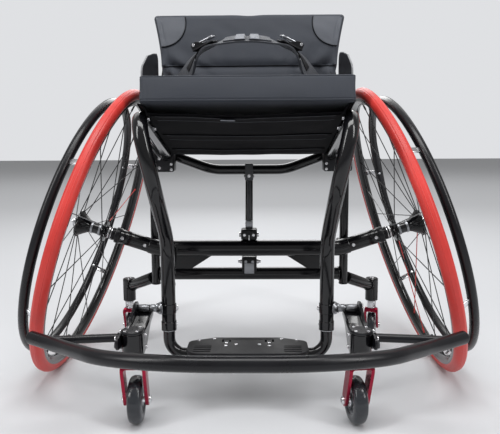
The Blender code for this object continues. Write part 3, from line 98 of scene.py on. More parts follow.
def buildStudio():
    bpy.ops.mesh.primitive_plane_add(size=40)
    floor = bpy.context.object
    floor.name = "studioFloor"
    paint = bpy.data.materials.new("studioFloor")
    paint.use_nodes = True
    shader = paint.node_tree.nodes["Principled BSDF"]
    shader.inputs["Base Color"].default_value = studio["floorColour"]
    shader.inputs["Roughness"].default_value = 0.7
    shader.inputs["Specular IOR Level"].default_value = 0.2
    floor.data.materials.append(paint)
    world = bpy.data.worlds.new("studio")
    world.use_nodes = True
    bpy.context.scene.world = world
    nodes, links = world.node_tree.nodes, world.node_tree.links
    nodes.clear()
    output = nodes.new("ShaderNodeOutputWorld")
    mix = nodes.new("ShaderNodeMixShader")
    light = nodes.new("ShaderNodeBackground")
    light.inputs["Color"].default_value = (1, 1, 1, 1)
    light.inputs["Strength"].default_value = studio["worldStrength"]
    seen = nodes.new("ShaderNodeBackground")
    seen.inputs["Color"].default_value = studio["backdrop"]
    path = nodes.new("ShaderNodeLightPath")
    links.new(path.outputs["Is Camera Ray"], mix.inputs["Fac"])
    links.new(light.outputs[0], mix.inputs[1])
    links.new(seen.outputs[0], mix.inputs[2])
    links.new(mix.outputs[0], output.inputs["Surface"])
    for place, aim, width, height, watts in studio["lamps"]:
        bpy.ops.object.light_add(type="AREA", location=place)
        lamp = bpy.context.object
        lamp.rotation_euler = (Vector(aim) - Vector(place)).to_track_quat("-Z", "Y").to_euler()
        lamp.data.shape = "RECTANGLE"
        lamp.data.size, lamp.data.size_y = width, height
        lamp.data.energy = watts


buildStudio()
print("studio ready")


# finishes
# slot, colour, roughness, grain and other inputs; a grain is its noise size per metre, its bump and how far
# roughness and colour vary
finishes = {
    "redTyre": ("tyre_red", (0.62, 0.04, 0.032), 0.42, (900, 0.05, 0.1, 0.12), {"Specular IOR Level": 0.45}),
    "glossBlack": ("gloss_black", (0.004, 0.004, 0.005), 0.14, (260, 0.008, 0.05, 0.3),
        {"Specular IOR Level": 0.36, "Coat Weight": 0.25, "Coat Roughness": 0.06}),
    "satinBlack": ("satin_black", (0.007, 0.007, 0.009), 0.28, (900, 0.03, 0.08, 0.25),
        {"Specular IOR Level": 0.32}),
    "brightSteel": ("bright_steel", (0.78, 0.78, 0.8), 0.2, (500, 0.02, 0.1, 0.1), {"Metallic": 1.0}),
    "greyAlloy": ("grey_alloy", (0.34, 0.35, 0.37), 0.3, (600, 0.03, 0.12, 0.12), {"Metallic": 1.0}),
    "redAlloy": ("red_alloy", (0.34, 0.01, 0.038), 0.26, (500, 0.02, 0.08, 0.15),
        {"Metallic": 0.9, "Coat Weight": 0.2}),
    "smokeWheel": ("smoke_wheel", (0.038, 0.042, 0.05), 0.15, (300, 0.02, 0.1, 0.15),
        {"Transmission Weight": 0.35, "IOR": 1.5}),
    "blackPlastic": ("black_plastic", (0.01, 0.01, 0.012), 0.42, (1500, 0.1, 0.1, 0.25),
        {"Specular IOR Level": 0.25}),
    "greyFabric": ("grey_fabric", (0.03, 0.035, 0.047), 0.62, (300, 0.02, 0.06, 0.1),
        {"Specular IOR Level": 0.4, "Sheen Weight": 0.08, "Sheen Roughness": 0.4}),
    # near-black webbing: the sling's own black, darkened further as painted shade under the seat
    "blackWeb": ("black_web", (0.0025, 0.0025, 0.0035), 0.8, (300, 0.02, 0.06, 0.15),
        {"Specular IOR Level": 0.08}),
    # the lap strap's black webbing, lifted to a lighter grey: its own dark colour plus a painted sheen for
    # the satin highlights
    "strapClothSheen": ("black_web", (0.04, 0.044, 0.055), 0.55, (300, 0.02, 0.06, 0.12), {"Sheen Weight": 0.15}),
    "greyPatch": ("grey_fabric", (0.058, 0.065, 0.082), 0.5, (300, 0.02, 0.06, 0.08), {"Sheen Weight": 0.15}),
    "greyTab": ("black_web", (0.15, 0.16, 0.185), 0.45, (500, 0.02, 0.06, 0.08), {}),
    "stitching": ("black_web", (0.055, 0.058, 0.068), 0.6, (500, 0.02, 0.06, 0.08), {}),
    "leverAlloy": ("bright_steel", (0.5, 0.51, 0.54), 0.28, (600, 0.03, 0.12, 0.12), {"Metallic": 1.0}),
    "guardPlastic": ("black_plastic", (0.012, 0.012, 0.014), 0.3, (900, 0.04, 0.08, 0.2), {}),
    "satinGrey": ("satin_black", (0.055, 0.057, 0.062), 0.36, (900, 0.03, 0.08, 0.2),
        {"Specular IOR Level": 0.5}),
    # lighter grey for the guards' rolled edge: a painted highlight along the rim
    "guardRimHighlight": ("black_plastic", (0.2, 0.205, 0.215), 0.3, (900, 0.02, 0.08, 0.1), {}),
}
# weave threads, in radians per metre
woven = {"greyFabric": 700, "greyPatch": 700, "strapClothSheen": 520, "blackWeb": 420, "greyTab": 420}


def addNode(tree, kind, values=None, **settings):
    node = tree.nodes.new(kind)
    for name, value in settings.items():
        setattr(node, name, value)
    for name, value in (values or {}).items():
        node.inputs[name].default_value = value
    return node


def makeFinish(name):
    paint = bpy.data.materials.new(name)
    paint.use_nodes = True
    tree = paint.node_tree
    shader = tree.nodes["Principled BSDF"]
    colour, rough, (size, bump, roughVary, colourVary), others = finishes[name][1:]
    shader.inputs["Base Color"].default_value = (*colour, 1)
    shader.inputs["Roughness"].default_value = rough
    for socket, value in others.items():
        shader.inputs[socket].default_value = value
    points = addNode(tree, "ShaderNodeTexCoord").outputs["Object"]
    fine = addNode(tree, "ShaderNodeTexNoise", {"Scale": size, "Detail": 3.0, "Roughness": 0.6})
    broad = addNode(tree, "ShaderNodeTexNoise", {"Scale": 14.0, "Detail": 4.0, "Roughness": 0.62})
    for texture in (fine, broad):
        tree.links.new(points, texture.inputs["Vector"])
    spread = addNode(tree, "ShaderNodeMapRange",
        {"From Min": 0.3, "From Max": 0.7, "To Min": rough - roughVary / 2, "To Max": rough + roughVary})
    tree.links.new(broad.outputs["Fac"], spread.inputs["Value"])
    tree.links.new(spread.outputs["Result"], shader.inputs["Roughness"])
    colour = Vector(colour)
    ramp = addNode(tree, "ShaderNodeValToRGB")
    ramp.color_ramp.elements[0].position, ramp.color_ramp.elements[1].position = 0.3, 0.7
    ramp.color_ramp.elements[0].color = (*(colour * (1 - colourVary)), 1)
    ramp.color_ramp.elements[1].color = (*(colour * (1 + colourVary * 0.6)), 1)
    tree.links.new(broad.outputs["Fac"], ramp.inputs["Fac"])
    tree.links.new(ramp.outputs["Color"], shader.inputs["Base Color"])
    relief = addNode(tree, "ShaderNodeBump", {"Strength": bump, "Distance": 0.001})
    tree.links.new(fine.outputs["Fac"], relief.inputs["Height"])
    if name in woven:
        relief.inputs["Strength"].default_value = 0.25
        threads = [addNode(tree, "ShaderNodeTexWave", {"Scale": woven[name], "Distortion": 0.4},
            bands_direction=way) for way in ("X", "Y", "Z")]
        total = fine.outputs["Fac"]
        for thread in threads:
            tree.links.new(points, thread.inputs["Vector"])
            both = addNode(tree, "ShaderNodeMath", operation="ADD")
            tree.links.new(total, both.inputs[0])
            tree.links.new(thread.outputs["Fac"], both.inputs[1])
            total = both.outputs[0]
        tree.links.new(total, relief.inputs["Height"])
    tree.links.new(relief.outputs["Normal"], shader.inputs["Normal"])
    return paint


finish = {name: makeFinish(name) for name in finishes}
finishOfSlot = {}
for name, row in finishes.items():
    finishOfSlot.setdefault(row[0], finish[name])


# the solids that stay get these finishes and smooth curved faces
def dressSolids():
    for row in frame["record"]["subparts"]:
        solid = frame["nodes"][row["node"]]
        solid.data.materials.clear()
        solid.data.materials.append(finishOfSlot[row["material_slot"]])
        solid.data.polygons.foreach_set("use_smooth", [True] * len(solid.data.polygons))
        weld = solid.modifiers.new("weld", "WELD")
        weld.merge_threshold = 0.00001
        split = solid.modifiers.new("sharp edges", "EDGE_SPLIT")
        split.split_angle = math.radians(35)


dressSolids()
print("solids dressed")


# ways of working that every piece uses
def pickNone():
    if bpy.context.object and bpy.context.object.mode != "OBJECT":
        bpy.ops.object.mode_set(mode="OBJECT")
    bpy.ops.object.select_all(action="DESELECT")


def pick(*pieces):
    pickNone()
    for piece in pieces:
        piece.select_set(True)
    bpy.context.view_layer.objects.active = pieces[0]


def named(name):
    piece = bpy.context.object
    piece.name = piece.data.name = name
    return piece


def selectFaces(piece, wanted):
    bpy.ops.mesh.select_mode(type="FACE")
    bpy.ops.mesh.select_all(action="DESELECT")
    shape = bmesh.from_edit_mesh(piece.data)
    for face in shape.faces:
        if wanted(face.calc_center_median(), face.normal):
            face.select_set(True)
    bmesh.update_edit_mesh(piece.data)


def selectEdges(piece, wanted):
    bpy.ops.mesh.select_mode(type="EDGE")
    bpy.ops.mesh.select_all(action="DESELECT")
    shape = bmesh.from_edit_mesh(piece.data)
    for edge in shape.edges:
        if wanted(*(corner.co for corner in edge.verts)):
            edge.select_set(True)
    bmesh.update_edit_mesh(piece.data)


def applied(piece, kind, **settings):
    step = piece.modifiers.new(kind.lower(), kind)
    for name, value in settings.items():
        setattr(step, name, value)
    pick(piece)
    bpy.ops.object.modifier_apply(modifier=step.name)
    return piece


def settled(piece, matrix=None):
    pick(piece)
    if matrix is not None:
        piece.matrix_world = matrix @ piece.matrix_world
    bpy.ops.object.transform_apply(location=True, rotation=True, scale=True)
    return piece


def cleaned(piece, angle=35):
    pick(piece)
    bpy.ops.object.mode_set(mode="EDIT")
    bpy.ops.mesh.select_all(action="SELECT")
    bpy.ops.mesh.remove_doubles(threshold=0.000004)
    bpy.ops.mesh.normals_make_consistent(inside=False)
    bpy.ops.object.mode_set(mode="OBJECT")
    bpy.ops.object.shade_smooth_by_angle(angle=math.radians(angle))
    return piece


def joined(name, pieces):
    pick(*pieces)
    if len(pieces) > 1:
        bpy.ops.object.join()
    return named(name)


def copied(piece, matrix):
    pick(piece)
    bpy.ops.object.duplicate(linked=False)
    return settled(bpy.context.object, matrix)


def removed(*pieces):
    pick(*pieces)
    bpy.ops.object.delete()


def painted(piece, finishName):
    piece.data.materials.clear()
    piece.data.materials.append(finish[finishName])
    return piece


# parts joined into one finished piece, with its side's tag in its name, its node and its body
def finished(name, parts, finishName, node=None, tag="", body="frame"):
    end = f"_{tag.lower()}" if tag else ""
    piece = joined(name + tag, parts)
    if not piece.data.materials:
        piece.data.materials.append(finish[finishName])
    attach(piece, body if body == "frame" else body + end)
    if node:
        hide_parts(node + end)
    return piece


# a profile of (radius, height) points, drawn by extruding one point and spun round the Z axis
def spun(name, profile, steps=64, matrix=None, closed=False, angle=35):
    pickNone()
    bpy.ops.mesh.primitive_plane_add(size=0.002)
    piece = named(name)
    bpy.ops.object.mode_set(mode="EDIT")
    bpy.ops.mesh.select_mode(type="VERT")
    bpy.ops.mesh.merge(type="CENTER")
    points = [Vector((radius, 0, height)) for radius, height in profile]
    if closed:
        points.append(points[0])
    bpy.ops.transform.translate(value=points[0])
    for here, there in zip(points, points[1:]):
        bpy.ops.mesh.extrude_region_move(TRANSFORM_OT_translate={"value": there - here})
    bpy.ops.mesh.select_all(action="SELECT")
    bpy.ops.mesh.spin(steps=steps, angle=math.tau, center=(0, 0, 0), axis=(0, 0, 1))
    cleaned(piece, angle)
    return settled(piece, matrix)


# corners of a route rounded to bends of the given radii
def rounded(corners, bends, steps=10):
    corners = [Vector(corner) for corner in corners]
    route = [corners[0]]
    for before, corner, after, bend in zip(corners, corners[1:], corners[2:], bends):
        into, away = (corner - before).normalized(), (after - corner).normalized()
        turn = into.angle(away)
        if bend <= 0 or turn < 0.01:
            route.append(corner)
            continue
        centre = corner + (away - into).normalized() * (bend / math.cos(turn / 2))
        start = corner - into * bend * math.tan(turn / 2) - centre
        for step in range(steps + 1):
            route.append(centre + Matrix.Rotation(turn * step / steps, 3,
                into.cross(away).normalized()) @ start)
    return route + [corners[-1]]


def bentTube(name, route, radius, detail=5, edge=0.0008):
    pickNone()
    bpy.ops.curve.primitive_nurbs_path_add()
    piece = bpy.context.object
    line = piece.data
    line.splines.clear()
    spline = line.splines.new("POLY")
    spline.points.add(len(route) - 1)
    for point, place in zip(spline.points, route):
        point.co = (*place, 1)
    line.bevel_depth, line.bevel_resolution, line.use_fill_caps = radius, detail, True
    bpy.ops.object.convert(target="MESH")
    piece = cleaned(named(name), 40)
    if edge:
        applied(piece, "BEVEL", width=edge, segments=2, limit_method="ANGLE", angle_limit=math.radians(60))
    return cleaned(piece, 40)


def rod(name, start, end, radius, sides=28, edge=0.0008):
    start, end = Vector(start), Vector(end)
    pickNone()
    bpy.ops.mesh.primitive_cylinder_add(vertices=sides, radius=radius, depth=(end - start).length)
    piece = named(name)
    if edge:
        bpy.ops.object.mode_set(mode="EDIT")
        top = (end - start).length / 2
        selectEdges(piece, lambda a, b: abs(abs(a.z) - top) < 1e-5 and abs(a.z - b.z) < 1e-6)
        bpy.ops.mesh.bevel(offset=edge, segments=2, affect="EDGES")
        bpy.ops.object.mode_set(mode="OBJECT")
    turn = (end - start).to_track_quat("Z", "Y").to_matrix().to_4x4()
    bpy.ops.object.shade_smooth_by_angle(angle=math.radians(40))
    return settled(piece, Matrix.Translation((start + end) / 2) @ turn)


def box(name, size, place, edge=0.002, matrix=None, segments=3):
    pickNone()
    bpy.ops.mesh.primitive_cube_add(size=1)
    piece = named(name)
    piece.scale = size
    settled(piece)
    bpy.ops.object.mode_set(mode="EDIT")
    bpy.ops.mesh.select_all(action="SELECT")
    if edge:
        bpy.ops.mesh.bevel(offset=edge, segments=segments, affect="EDGES")
    bpy.ops.object.mode_set(mode="OBJECT")
    bpy.ops.object.shade_smooth_by_angle(angle=math.radians(40))
    return settled(piece, (matrix or Matrix()) @ Matrix.Translation(place))


# a flat outline in the XY plane, extruded both ways from it
def plate(name, outline, thickness, matrix=None, edge=0.0006):
    pickNone()
    bpy.ops.mesh.primitive_circle_add(vertices=len(outline), radius=1, fill_type="NGON")
    piece = named(name)
    for corner, (x, y) in zip(piece.data.vertices, outline):
        corner.co = (x, y, -thickness / 2)
    bpy.ops.object.mode_set(mode="EDIT")
    bpy.ops.mesh.select_all(action="SELECT")
    bpy.ops.mesh.extrude_region_move(TRANSFORM_OT_translate={"value": (0, 0, thickness)})
    bpy.ops.object.mode_set(mode="OBJECT")
    cleaned(piece)
    if edge:
        applied(piece, "BEVEL", width=edge, segments=2, limit_method="ANGLE", angle_limit=math.radians(50))
        cleaned(piece)
    return settled(piece, matrix)


def cut(piece, *cutters):
    for cutter in cutters:
        applied(piece, "BOOLEAN", operation="DIFFERENCE", solver="EXACT", object=cutter)
    removed(*cutters)
    return piece


def axes(xAxis, zAxis, place):
    z = Vector(zAxis).normalized()
    y = z.cross(Vector(xAxis)).normalized()
    made = Matrix((y.cross(z), y, z)).transposed().to_4x4()
    made.translation = Vector(place)
    return made


def fromAxle(x, y, z):
    return Vector((x, y + axleY, z))


def smoothRoute(points, steps=6):
    points = [Vector(point) for point in points]
    ends = [points[0] * 2 - points[1]] + points + [points[-1] * 2 - points[-2]]
    route = []
    for a, b, c, d in zip(ends, ends[1:], ends[2:], ends[3:]):
        for i in range(steps):
            t = i / steps
            route.append(0.5 * (2 * b + (c - a) * t + (2 * a - 5 * b + 4 * c - d) * t**2
                + (3 * b - 3 * c + d - a) * t**3))
    return route + [points[-1]]


# bolts: a round head with a hex socket, modelled once and copied
def makeBolt():
    pickNone()
    bpy.ops.mesh.primitive_cylinder_add(vertices=24, radius=1, depth=1, location=(0, 0, 0.5))
    piece = named("boltModel")
    settled(piece)
    bpy.ops.object.mode_set(mode="EDIT")
    selectEdges(piece, lambda a, b: a.z > 0.99 and b.z > 0.99)
    bpy.ops.mesh.bevel(offset=0.18, segments=2, affect="EDGES")
    selectFaces(piece, lambda place, normal: normal.z > 0.9 and place.z > 0.99)
    bpy.ops.mesh.inset(thickness=0.3)
    bpy.ops.mesh.extrude_region_move(TRANSFORM_OT_translate={"value": (0, 0, -0.55)})
    shape = bmesh.from_edit_mesh(piece.data)
    for corner in shape.verts:  # the socket's wall becomes six-sided
        reach = corner.co.xy.length
        if 0.05 < reach < 0.7:
            turn = math.atan2(corner.co.y, corner.co.x) % (math.pi / 3) - math.pi / 6
            corner.co.xy *= 0.5 / math.cos(turn) / reach
    bmesh.update_edit_mesh(piece.data)
    bpy.ops.object.mode_set(mode="OBJECT")
    return cleaned(piece, 30)


boltModel = makeBolt()


def boltAt(place, way, radius, height):
    size = Matrix.Diagonal((radius, radius, height, 1))
    return copied(boltModel, axes((0.3, 0.5, 0.8), way, place) @ size)


def add(parts, part, finishName):
    parts.append(painted(part, finishName))


def addBolt(parts, place, way, radius, height, finishName="brightSteel"):
    add(parts, boltAt(place, way, radius, height), finishName)


# main wheels: tyre, rim with valve, hub, laced spokes, handrim
camber = math.radians(17.9)
wheel = {
    "place": (0.3180, 0.290807), "radius": 0.3050, "tyre": 0.0118, "rimSeat": 0.2860, "rimDepth": 0.0150,
    "rimHalf": 0.0100,
    "spokes": 12, "spoke": 0.0010, "outerFlange": (0.0290, 0.0440), "innerFlange": (0.0230, -0.0120),
    "handrim": (0.2670, 0.0368, 0.0087), "tabs": 6, "tabSize": (0.0110, 0.0032), "bearing": 0.0128,
    "redSpokes": {"Left": (7, 17), "Right": (15,)}, "tabTurn": {"Left": 52.5, "Right": 3.0},
}


def wheelMatrix(side):
    outward = (side * math.cos(camber), 0, math.sin(camber))
    ground = (side * math.sin(camber), 0, -math.cos(camber))
    return axes(ground, outward, (side * wheel["place"][0], axleY, wheel["place"][1]))


def makeTyre(matrix):
    pickNone()
    centre = wheel["radius"] - wheel["tyre"]
    bpy.ops.mesh.primitive_torus_add(
        major_segments=144, minor_segments=36, major_radius=centre, minor_radius=wheel["tyre"],
        generate_uvs=True
    )
    piece = named("tyre")
    bpy.ops.object.mode_set(mode="EDIT")
    for offset in (-0.0022, 0.0, 0.0022):  # fine file grooves round the tread
        selectFaces(
            piece,
            lambda place, normal: place.xy.length > centre + 0.010 and abs(place.z - offset) < 0.0011,
        )
        bpy.ops.mesh.inset(thickness=0.0005)
        bpy.ops.transform.shrink_fatten(value=-0.0003)
    bpy.ops.object.mode_set(mode="OBJECT")
    cleaned(piece, 60)
    return settled(piece, matrix)


def makeRim(matrix):
    seat, depth, half = wheel["rimSeat"], wheel["rimDepth"], wheel["rimHalf"]
    profile = [
        (seat + 0.0012, half - 0.0014), (seat + 0.0016, half - 0.0006), (seat + 0.0010, half),
        (seat - 0.0010, half + 0.0001),
        (seat - 0.0055, half - 0.0001), (seat - 0.0085, half - 0.0022), (seat - 0.0120, half - 0.0046),
        (seat - 0.0142, half - 0.0066),
        (seat - depth, half - 0.0088),
    ]
    profile += [(radius, -height) for radius, height in reversed(profile)]
    rim = settled(joined("rim", [spun("rim", profile, 144, None, True, 30)]), matrix)
    valve = rod("valve", (seat - depth - 0.028, 0, 0), (seat - depth, 0, 0), 0.0030, 12)
    nut = rod("valveNut", (seat - depth - 0.004, 0, 0), (seat - depth - 0.0015, 0, 0), 0.0055, 6, 0.0004)
    stem = [painted(valve, "blackPlastic"), painted(nut, "brightSteel")]
    return rim, settled(joined("valve", stem), matrix)


def makeHub(matrix):
    outer, outerZ = wheel["outerFlange"]
    inner, innerZ = wheel["innerFlange"]
    profile = [
        (0.0070, 0.0500), (0.0145, 0.0500), (0.0158, 0.0490), (0.0170, 0.0480), (0.0235, 0.0468),
        (outer - 0.0012, outerZ + 0.0025),
        (outer, outerZ + 0.0014), (outer, outerZ - 0.0014), (outer - 0.0010, outerZ - 0.0024),
        (0.0235, outerZ - 0.0062),
        (0.0185, 0.0300), (0.0138, 0.0230), (0.0118, 0.0180), (0.0115, 0.0160), (0.0115, -0.0040),
        (0.0122, -0.0062), (0.0150, -0.0084),
        (inner - 0.0010, innerZ + 0.0026), (inner, innerZ + 0.0014), (inner, innerZ - 0.0014),
        (inner - 0.0010, innerZ - 0.0024),
        (0.0150, -0.0160), (0.0135, -0.0170), (0.0132, -0.0196), (0.0070, -0.0199),
    ]
    hub = painted(spun("hub", profile, 64, None, True, 30), "glossBlack")
    rings = []
    wide = wheel["bearing"]
    for height in (0.0150, -0.0020):  # bright bearing spacers on the barrel
        ring = [(0.0112, height + 0.0026), (wide, height + 0.0021), (wide, height - 0.0021),
            (0.0112, height - 0.0026)]
        rings.append(painted(spun("spacer", ring, 48, None, True), "greyAlloy"))
    heads = []
    for i in range(wheel["spokes"]):  # spoke heads on both faces of each flange
        for flange, height, lead in ((outer, outerZ, 0.0), (inner, innerZ, 0.5)):
            turn = math.tau * (i + lead) / wheel["spokes"]
            face = 1 if i % 2 else -1
            place = Vector((math.cos(turn) * (flange - 0.0042), math.sin(turn) * (flange - 0.0042),
                height + face * 0.0024))
            pickNone()
            bpy.ops.mesh.primitive_uv_sphere_add(segments=10, ring_count=6, radius=0.0019, location=place)
            heads.append(painted(settled(bpy.context.object), "brightSteel"))
    return settled(joined("hub", [hub] + rings + heads), matrix)


def makeSpokes(tag, matrix):
    reach = wheel["rimSeat"] - wheel["rimDepth"] + 0.0002
    lead = math.tau / wheel["spokes"]
    models = []
    for flange, height, start in ((*wheel["outerFlange"], 0.0), (*wheel["innerFlange"], 0.5)):
        for way in (1, -1):
            low = lead * ((1 if way > 0 else 0) + start)
            root = Vector((math.cos(low), math.sin(low), 0)) * (flange - 0.0045)
            root.z = height + way * 0.0024
            high = low + way * lead
            end = Vector((math.cos(high), math.sin(high), 0)) * reach
            end.z = math.copysign(0.0015, height)
            along = (end - root).normalized()
            spoke = painted(rod("spoke", root, end, wheel["spoke"], 10, 0), "glossBlack")
            nipple = painted(rod("nipple", end - along * 0.013, end, 0.0018, 8, 0.0003), "satinBlack")
            models.append(joined("spokeModel", [spoke, nipple]))
    spokes, perModel = [], wheel["spokes"] // 2
    for kind, model in enumerate(models):
        for i in range(perModel):
            spoke = copied(model, Matrix.Rotation(2 * lead * i, 4, "Z"))
            if kind * perModel + i in wheel["redSpokes"][tag]:
                painted(spoke, "redTyre")
            spokes.append(spoke)
    removed(*models)
    return settled(joined("spokes", spokes), matrix)


def makeHandrim(tag, matrix):
    radius, offset, tube = wheel["handrim"]
    pickNone()
    bpy.ops.mesh.primitive_torus_add(major_segments=144, minor_segments=24, major_radius=radius,
        minor_radius=tube, location=(0, 0, offset))
    ring = cleaned(settled(named("handrim")), 60)
    tabs, screws = [], []
    for i in range(wheel["tabs"]):
        turn = math.tau * i / wheel["tabs"] + math.radians(wheel["tabTurn"][tag])
        way = Vector((math.cos(turn), math.sin(turn), 0))
        low = way * (wheel["rimSeat"] - 0.0055) + Vector((0, 0, wheel["rimHalf"] + 0.0002))
        top = way * (radius + 0.002) + Vector((0, 0, offset - tube * 0.6))
        along = (top - low).normalized()
        face = axes(along, along.cross(Vector((-way.y, way.x, 0))), (low + top) / 2)
        up, inside = face.to_3x3() @ Vector((0, 0, 1)), way * radius + Vector((0, 0,
            offset)) - way * (tube - 0.0006)
        add(tabs, box("tab", ((top - low).length, *wheel["tabSize"]), (0, 0, 0), 0.0010, face), "brightSteel")
        addBolt(tabs, low + along * 0.0080 + up * 0.0015, up, 0.0030, 0.0016, "greyAlloy")
        addBolt(screws, inside, -way, 0.0026, 0.0014)
    hoop = settled(joined("handrim", [painted(ring, "satinBlack")]), matrix)
    return hoop, settled(joined("handrimTabs", tabs + screws), matrix)


def makeWheels():
    for tag, side in sides:
        matrix, body = wheelMatrix(side), "main_wheel"
        finished("tyre", [makeTyre(matrix)], "redTyre", "tyre", tag, body)
        rim, valve = makeRim(matrix)
        finished("rim", [rim], "glossBlack", "rim", tag, body)
        finished("valve", [valve], "blackPlastic", None, tag, body)
        finished("hub", [makeHub(matrix)], "glossBlack", "hub", tag, body)
        finished("spokes", [makeSpokes(tag, matrix)], "glossBlack", None, tag, body)
        ring, tabs = makeHandrim(tag, matrix)
        finished("handrim", [ring], "satinBlack", "handrim", tag, body)
        finished("handrimTabs", [tabs], "brightSteel", None, tag, body)
        print("wheel", tag)


makeWheels()


# frame tubes, as the solids run, with welds, caps, clamps and bolts
tubes = {
    "railBack": (0.1747, 0.0440, 0.4416), "railFront": (0.1716, -0.3020, 0.5205),
    "legTop": (0.1470, -0.3030, 0.4050),
    "legKnee": (0.1415, -0.2050, 0.3000), "legEnd": (0.1415, -0.2050, 0.1436), "frameRadius": 0.0127,
    "barRadius": 0.0170, "barZ": 0.2500, "armRadius": 0.0155,
    "crossbarY": 0.0300, "crossbarZ": 0.1885, "crossbarRadius": 0.0136, "bracketZ": 0.2115,
    "postX": 0.2050, "postY": 0.0300, "postRadius": 0.0095,
    "backbarY": 0.0583, "backbarRadius": 0.0108, "backbarZ": 0.4140,
    "sideRailRadius": 0.0110,
}


def at(side, x, y, z):
    return fromAxle(side * x, y, z)


# half a route, up to the middle, with its mirror image after it
def mirrored(half):
    return half + [Vector((-point.x, point.y, point.z)) for point in reversed(half)]


def weldBead(name, place, way, radius, thick=0.0016):
    pickNone()
    bpy.ops.mesh.primitive_torus_add(major_segments=40, minor_segments=8, major_radius=radius,
        minor_radius=thick)
    piece = named(name)
    bpy.ops.object.mode_set(mode="EDIT")
    bpy.ops.mesh.select_all(action="SELECT")
    bpy.ops.transform.vertex_random(offset=0.00018, seed=3)
    bpy.ops.object.mode_set(mode="OBJECT")
    bpy.ops.object.shade_smooth()
    return settled(piece, axes((0.31, 0.52, 0.79), way, place))


def makeSideFrames():
    for tag, side in sides:
        corners = [at(side, *tubes[key]) for key in ("railBack", "railFront", "legTop", "legKnee", "legEnd")]
        rail = bentTube("rail", rounded(corners, (0.045, 0.11, 0.08), 14), tubes["frameRadius"], 7)
        rearward = (corners[0] - corners[1]).normalized()
        cap = rod("cap", corners[0] + rearward * 0.0002, corners[0] + rearward * 0.003, 0.0124, 32, 0.0010)
        painted(rail, "glossBlack")
        painted(cap, "blackPlastic")
        finished("sideFrame", [rail, cap], "glossBlack", "side_frame", tag)

        # lower rail from the camber bar to the back of the leg, with its welds
        start, end = at(side, 0.1640, 0, tubes["barZ"]), at(side, 0.1415, -0.2050, 0.2150)
        along = (end - start).normalized()
        low = start + along * (tubes["barRadius"] - 0.0005)
        high = end - along * (tubes["frameRadius"] - 0.0005)
        lower = painted(rod("lower", low, high, tubes["sideRailRadius"], 32, 0), "glossBlack")
        beads = [painted(weldBead("bead", place, along, 0.0112), "glossBlack")
                 for place in (low + along * 0.0012, high - along * 0.0012)]
        finished("lowerRail", [lower] + beads, "glossBlack", "lower_rail", tag)


# distances from the wheel's centre along its axle line
camberBar = {
    "tubeEnd": 0.112, "armEnd": 0.120, "hub": 0.0366, "sleeve": (0.0480, 0.0368), "sleeveRadius": 0.0170,
    "bolts": (0.0545, 0.1040), "bend": 0.05,
}


def makeCamberBar():
    arm = Vector((math.cos(camber), 0, math.sin(camber)))
    centre = fromAxle(wheel["place"][0], 0, wheel["place"][1])
    bendX = wheel["place"][0] - (wheel["place"][1] - tubes["barZ"]) / math.tan(camber)
    corners = mirrored([centre - arm * camberBar["tubeEnd"], fromAxle(bendX, 0, tubes["barZ"])])
    route = rounded(corners, (camberBar["bend"], camberBar["bend"]), 10)
    parts = [painted(bentTube("bar", route, tubes["barRadius"], 8), "glossBlack")]
    for side in (1, -1):
        out = Vector((side * arm.x, 0, arm.z))
        middle = Vector((side * centre.x, centre.y, centre.z))
        armEnds = [middle - out * camberBar[key] for key in ("armEnd", "hub")]
        sleeveEnds = [middle - out * along for along in camberBar["sleeve"]]
        add(parts, rod("arm", *armEnds, tubes["armRadius"], 40, 0.0010), "glossBlack")
        add(parts, rod("sleeve", *sleeveEnds, camberBar["sleeveRadius"], 40, 0.0012), "satinBlack")
        for along in camberBar["bolts"]:  # clamp bolts on the arm's front
            place = middle - out * along + Vector((0, -1, 0)) * (tubes["armRadius"] - 0.0004)
            addBolt(parts, place, (0, -1, 0), 0.0036, 0.0022)
    finished("camberBar", parts, "glossBlack", "camber_bar")


crossbar = {
    "gusset": {"inner": 0.0780, "outer": 0.1650, "step": 0.1390, "foot": 0.1270, "thick": 0.0050},
    "block": (0.0320, 0.0340, 0.0330), "tongue": (0.0210, 0.0030, 0.0230), "tongueBehind": 0.0172,
    "tongueZ": 0.2030,
    "sideBolt": (0.0158, 0.0052, 0.0045), "stud": (0.0200, 0.0248, 0.0033),
    "frontBolt": (0.0075, 0.0169, 0.0032, 0.0016),
}


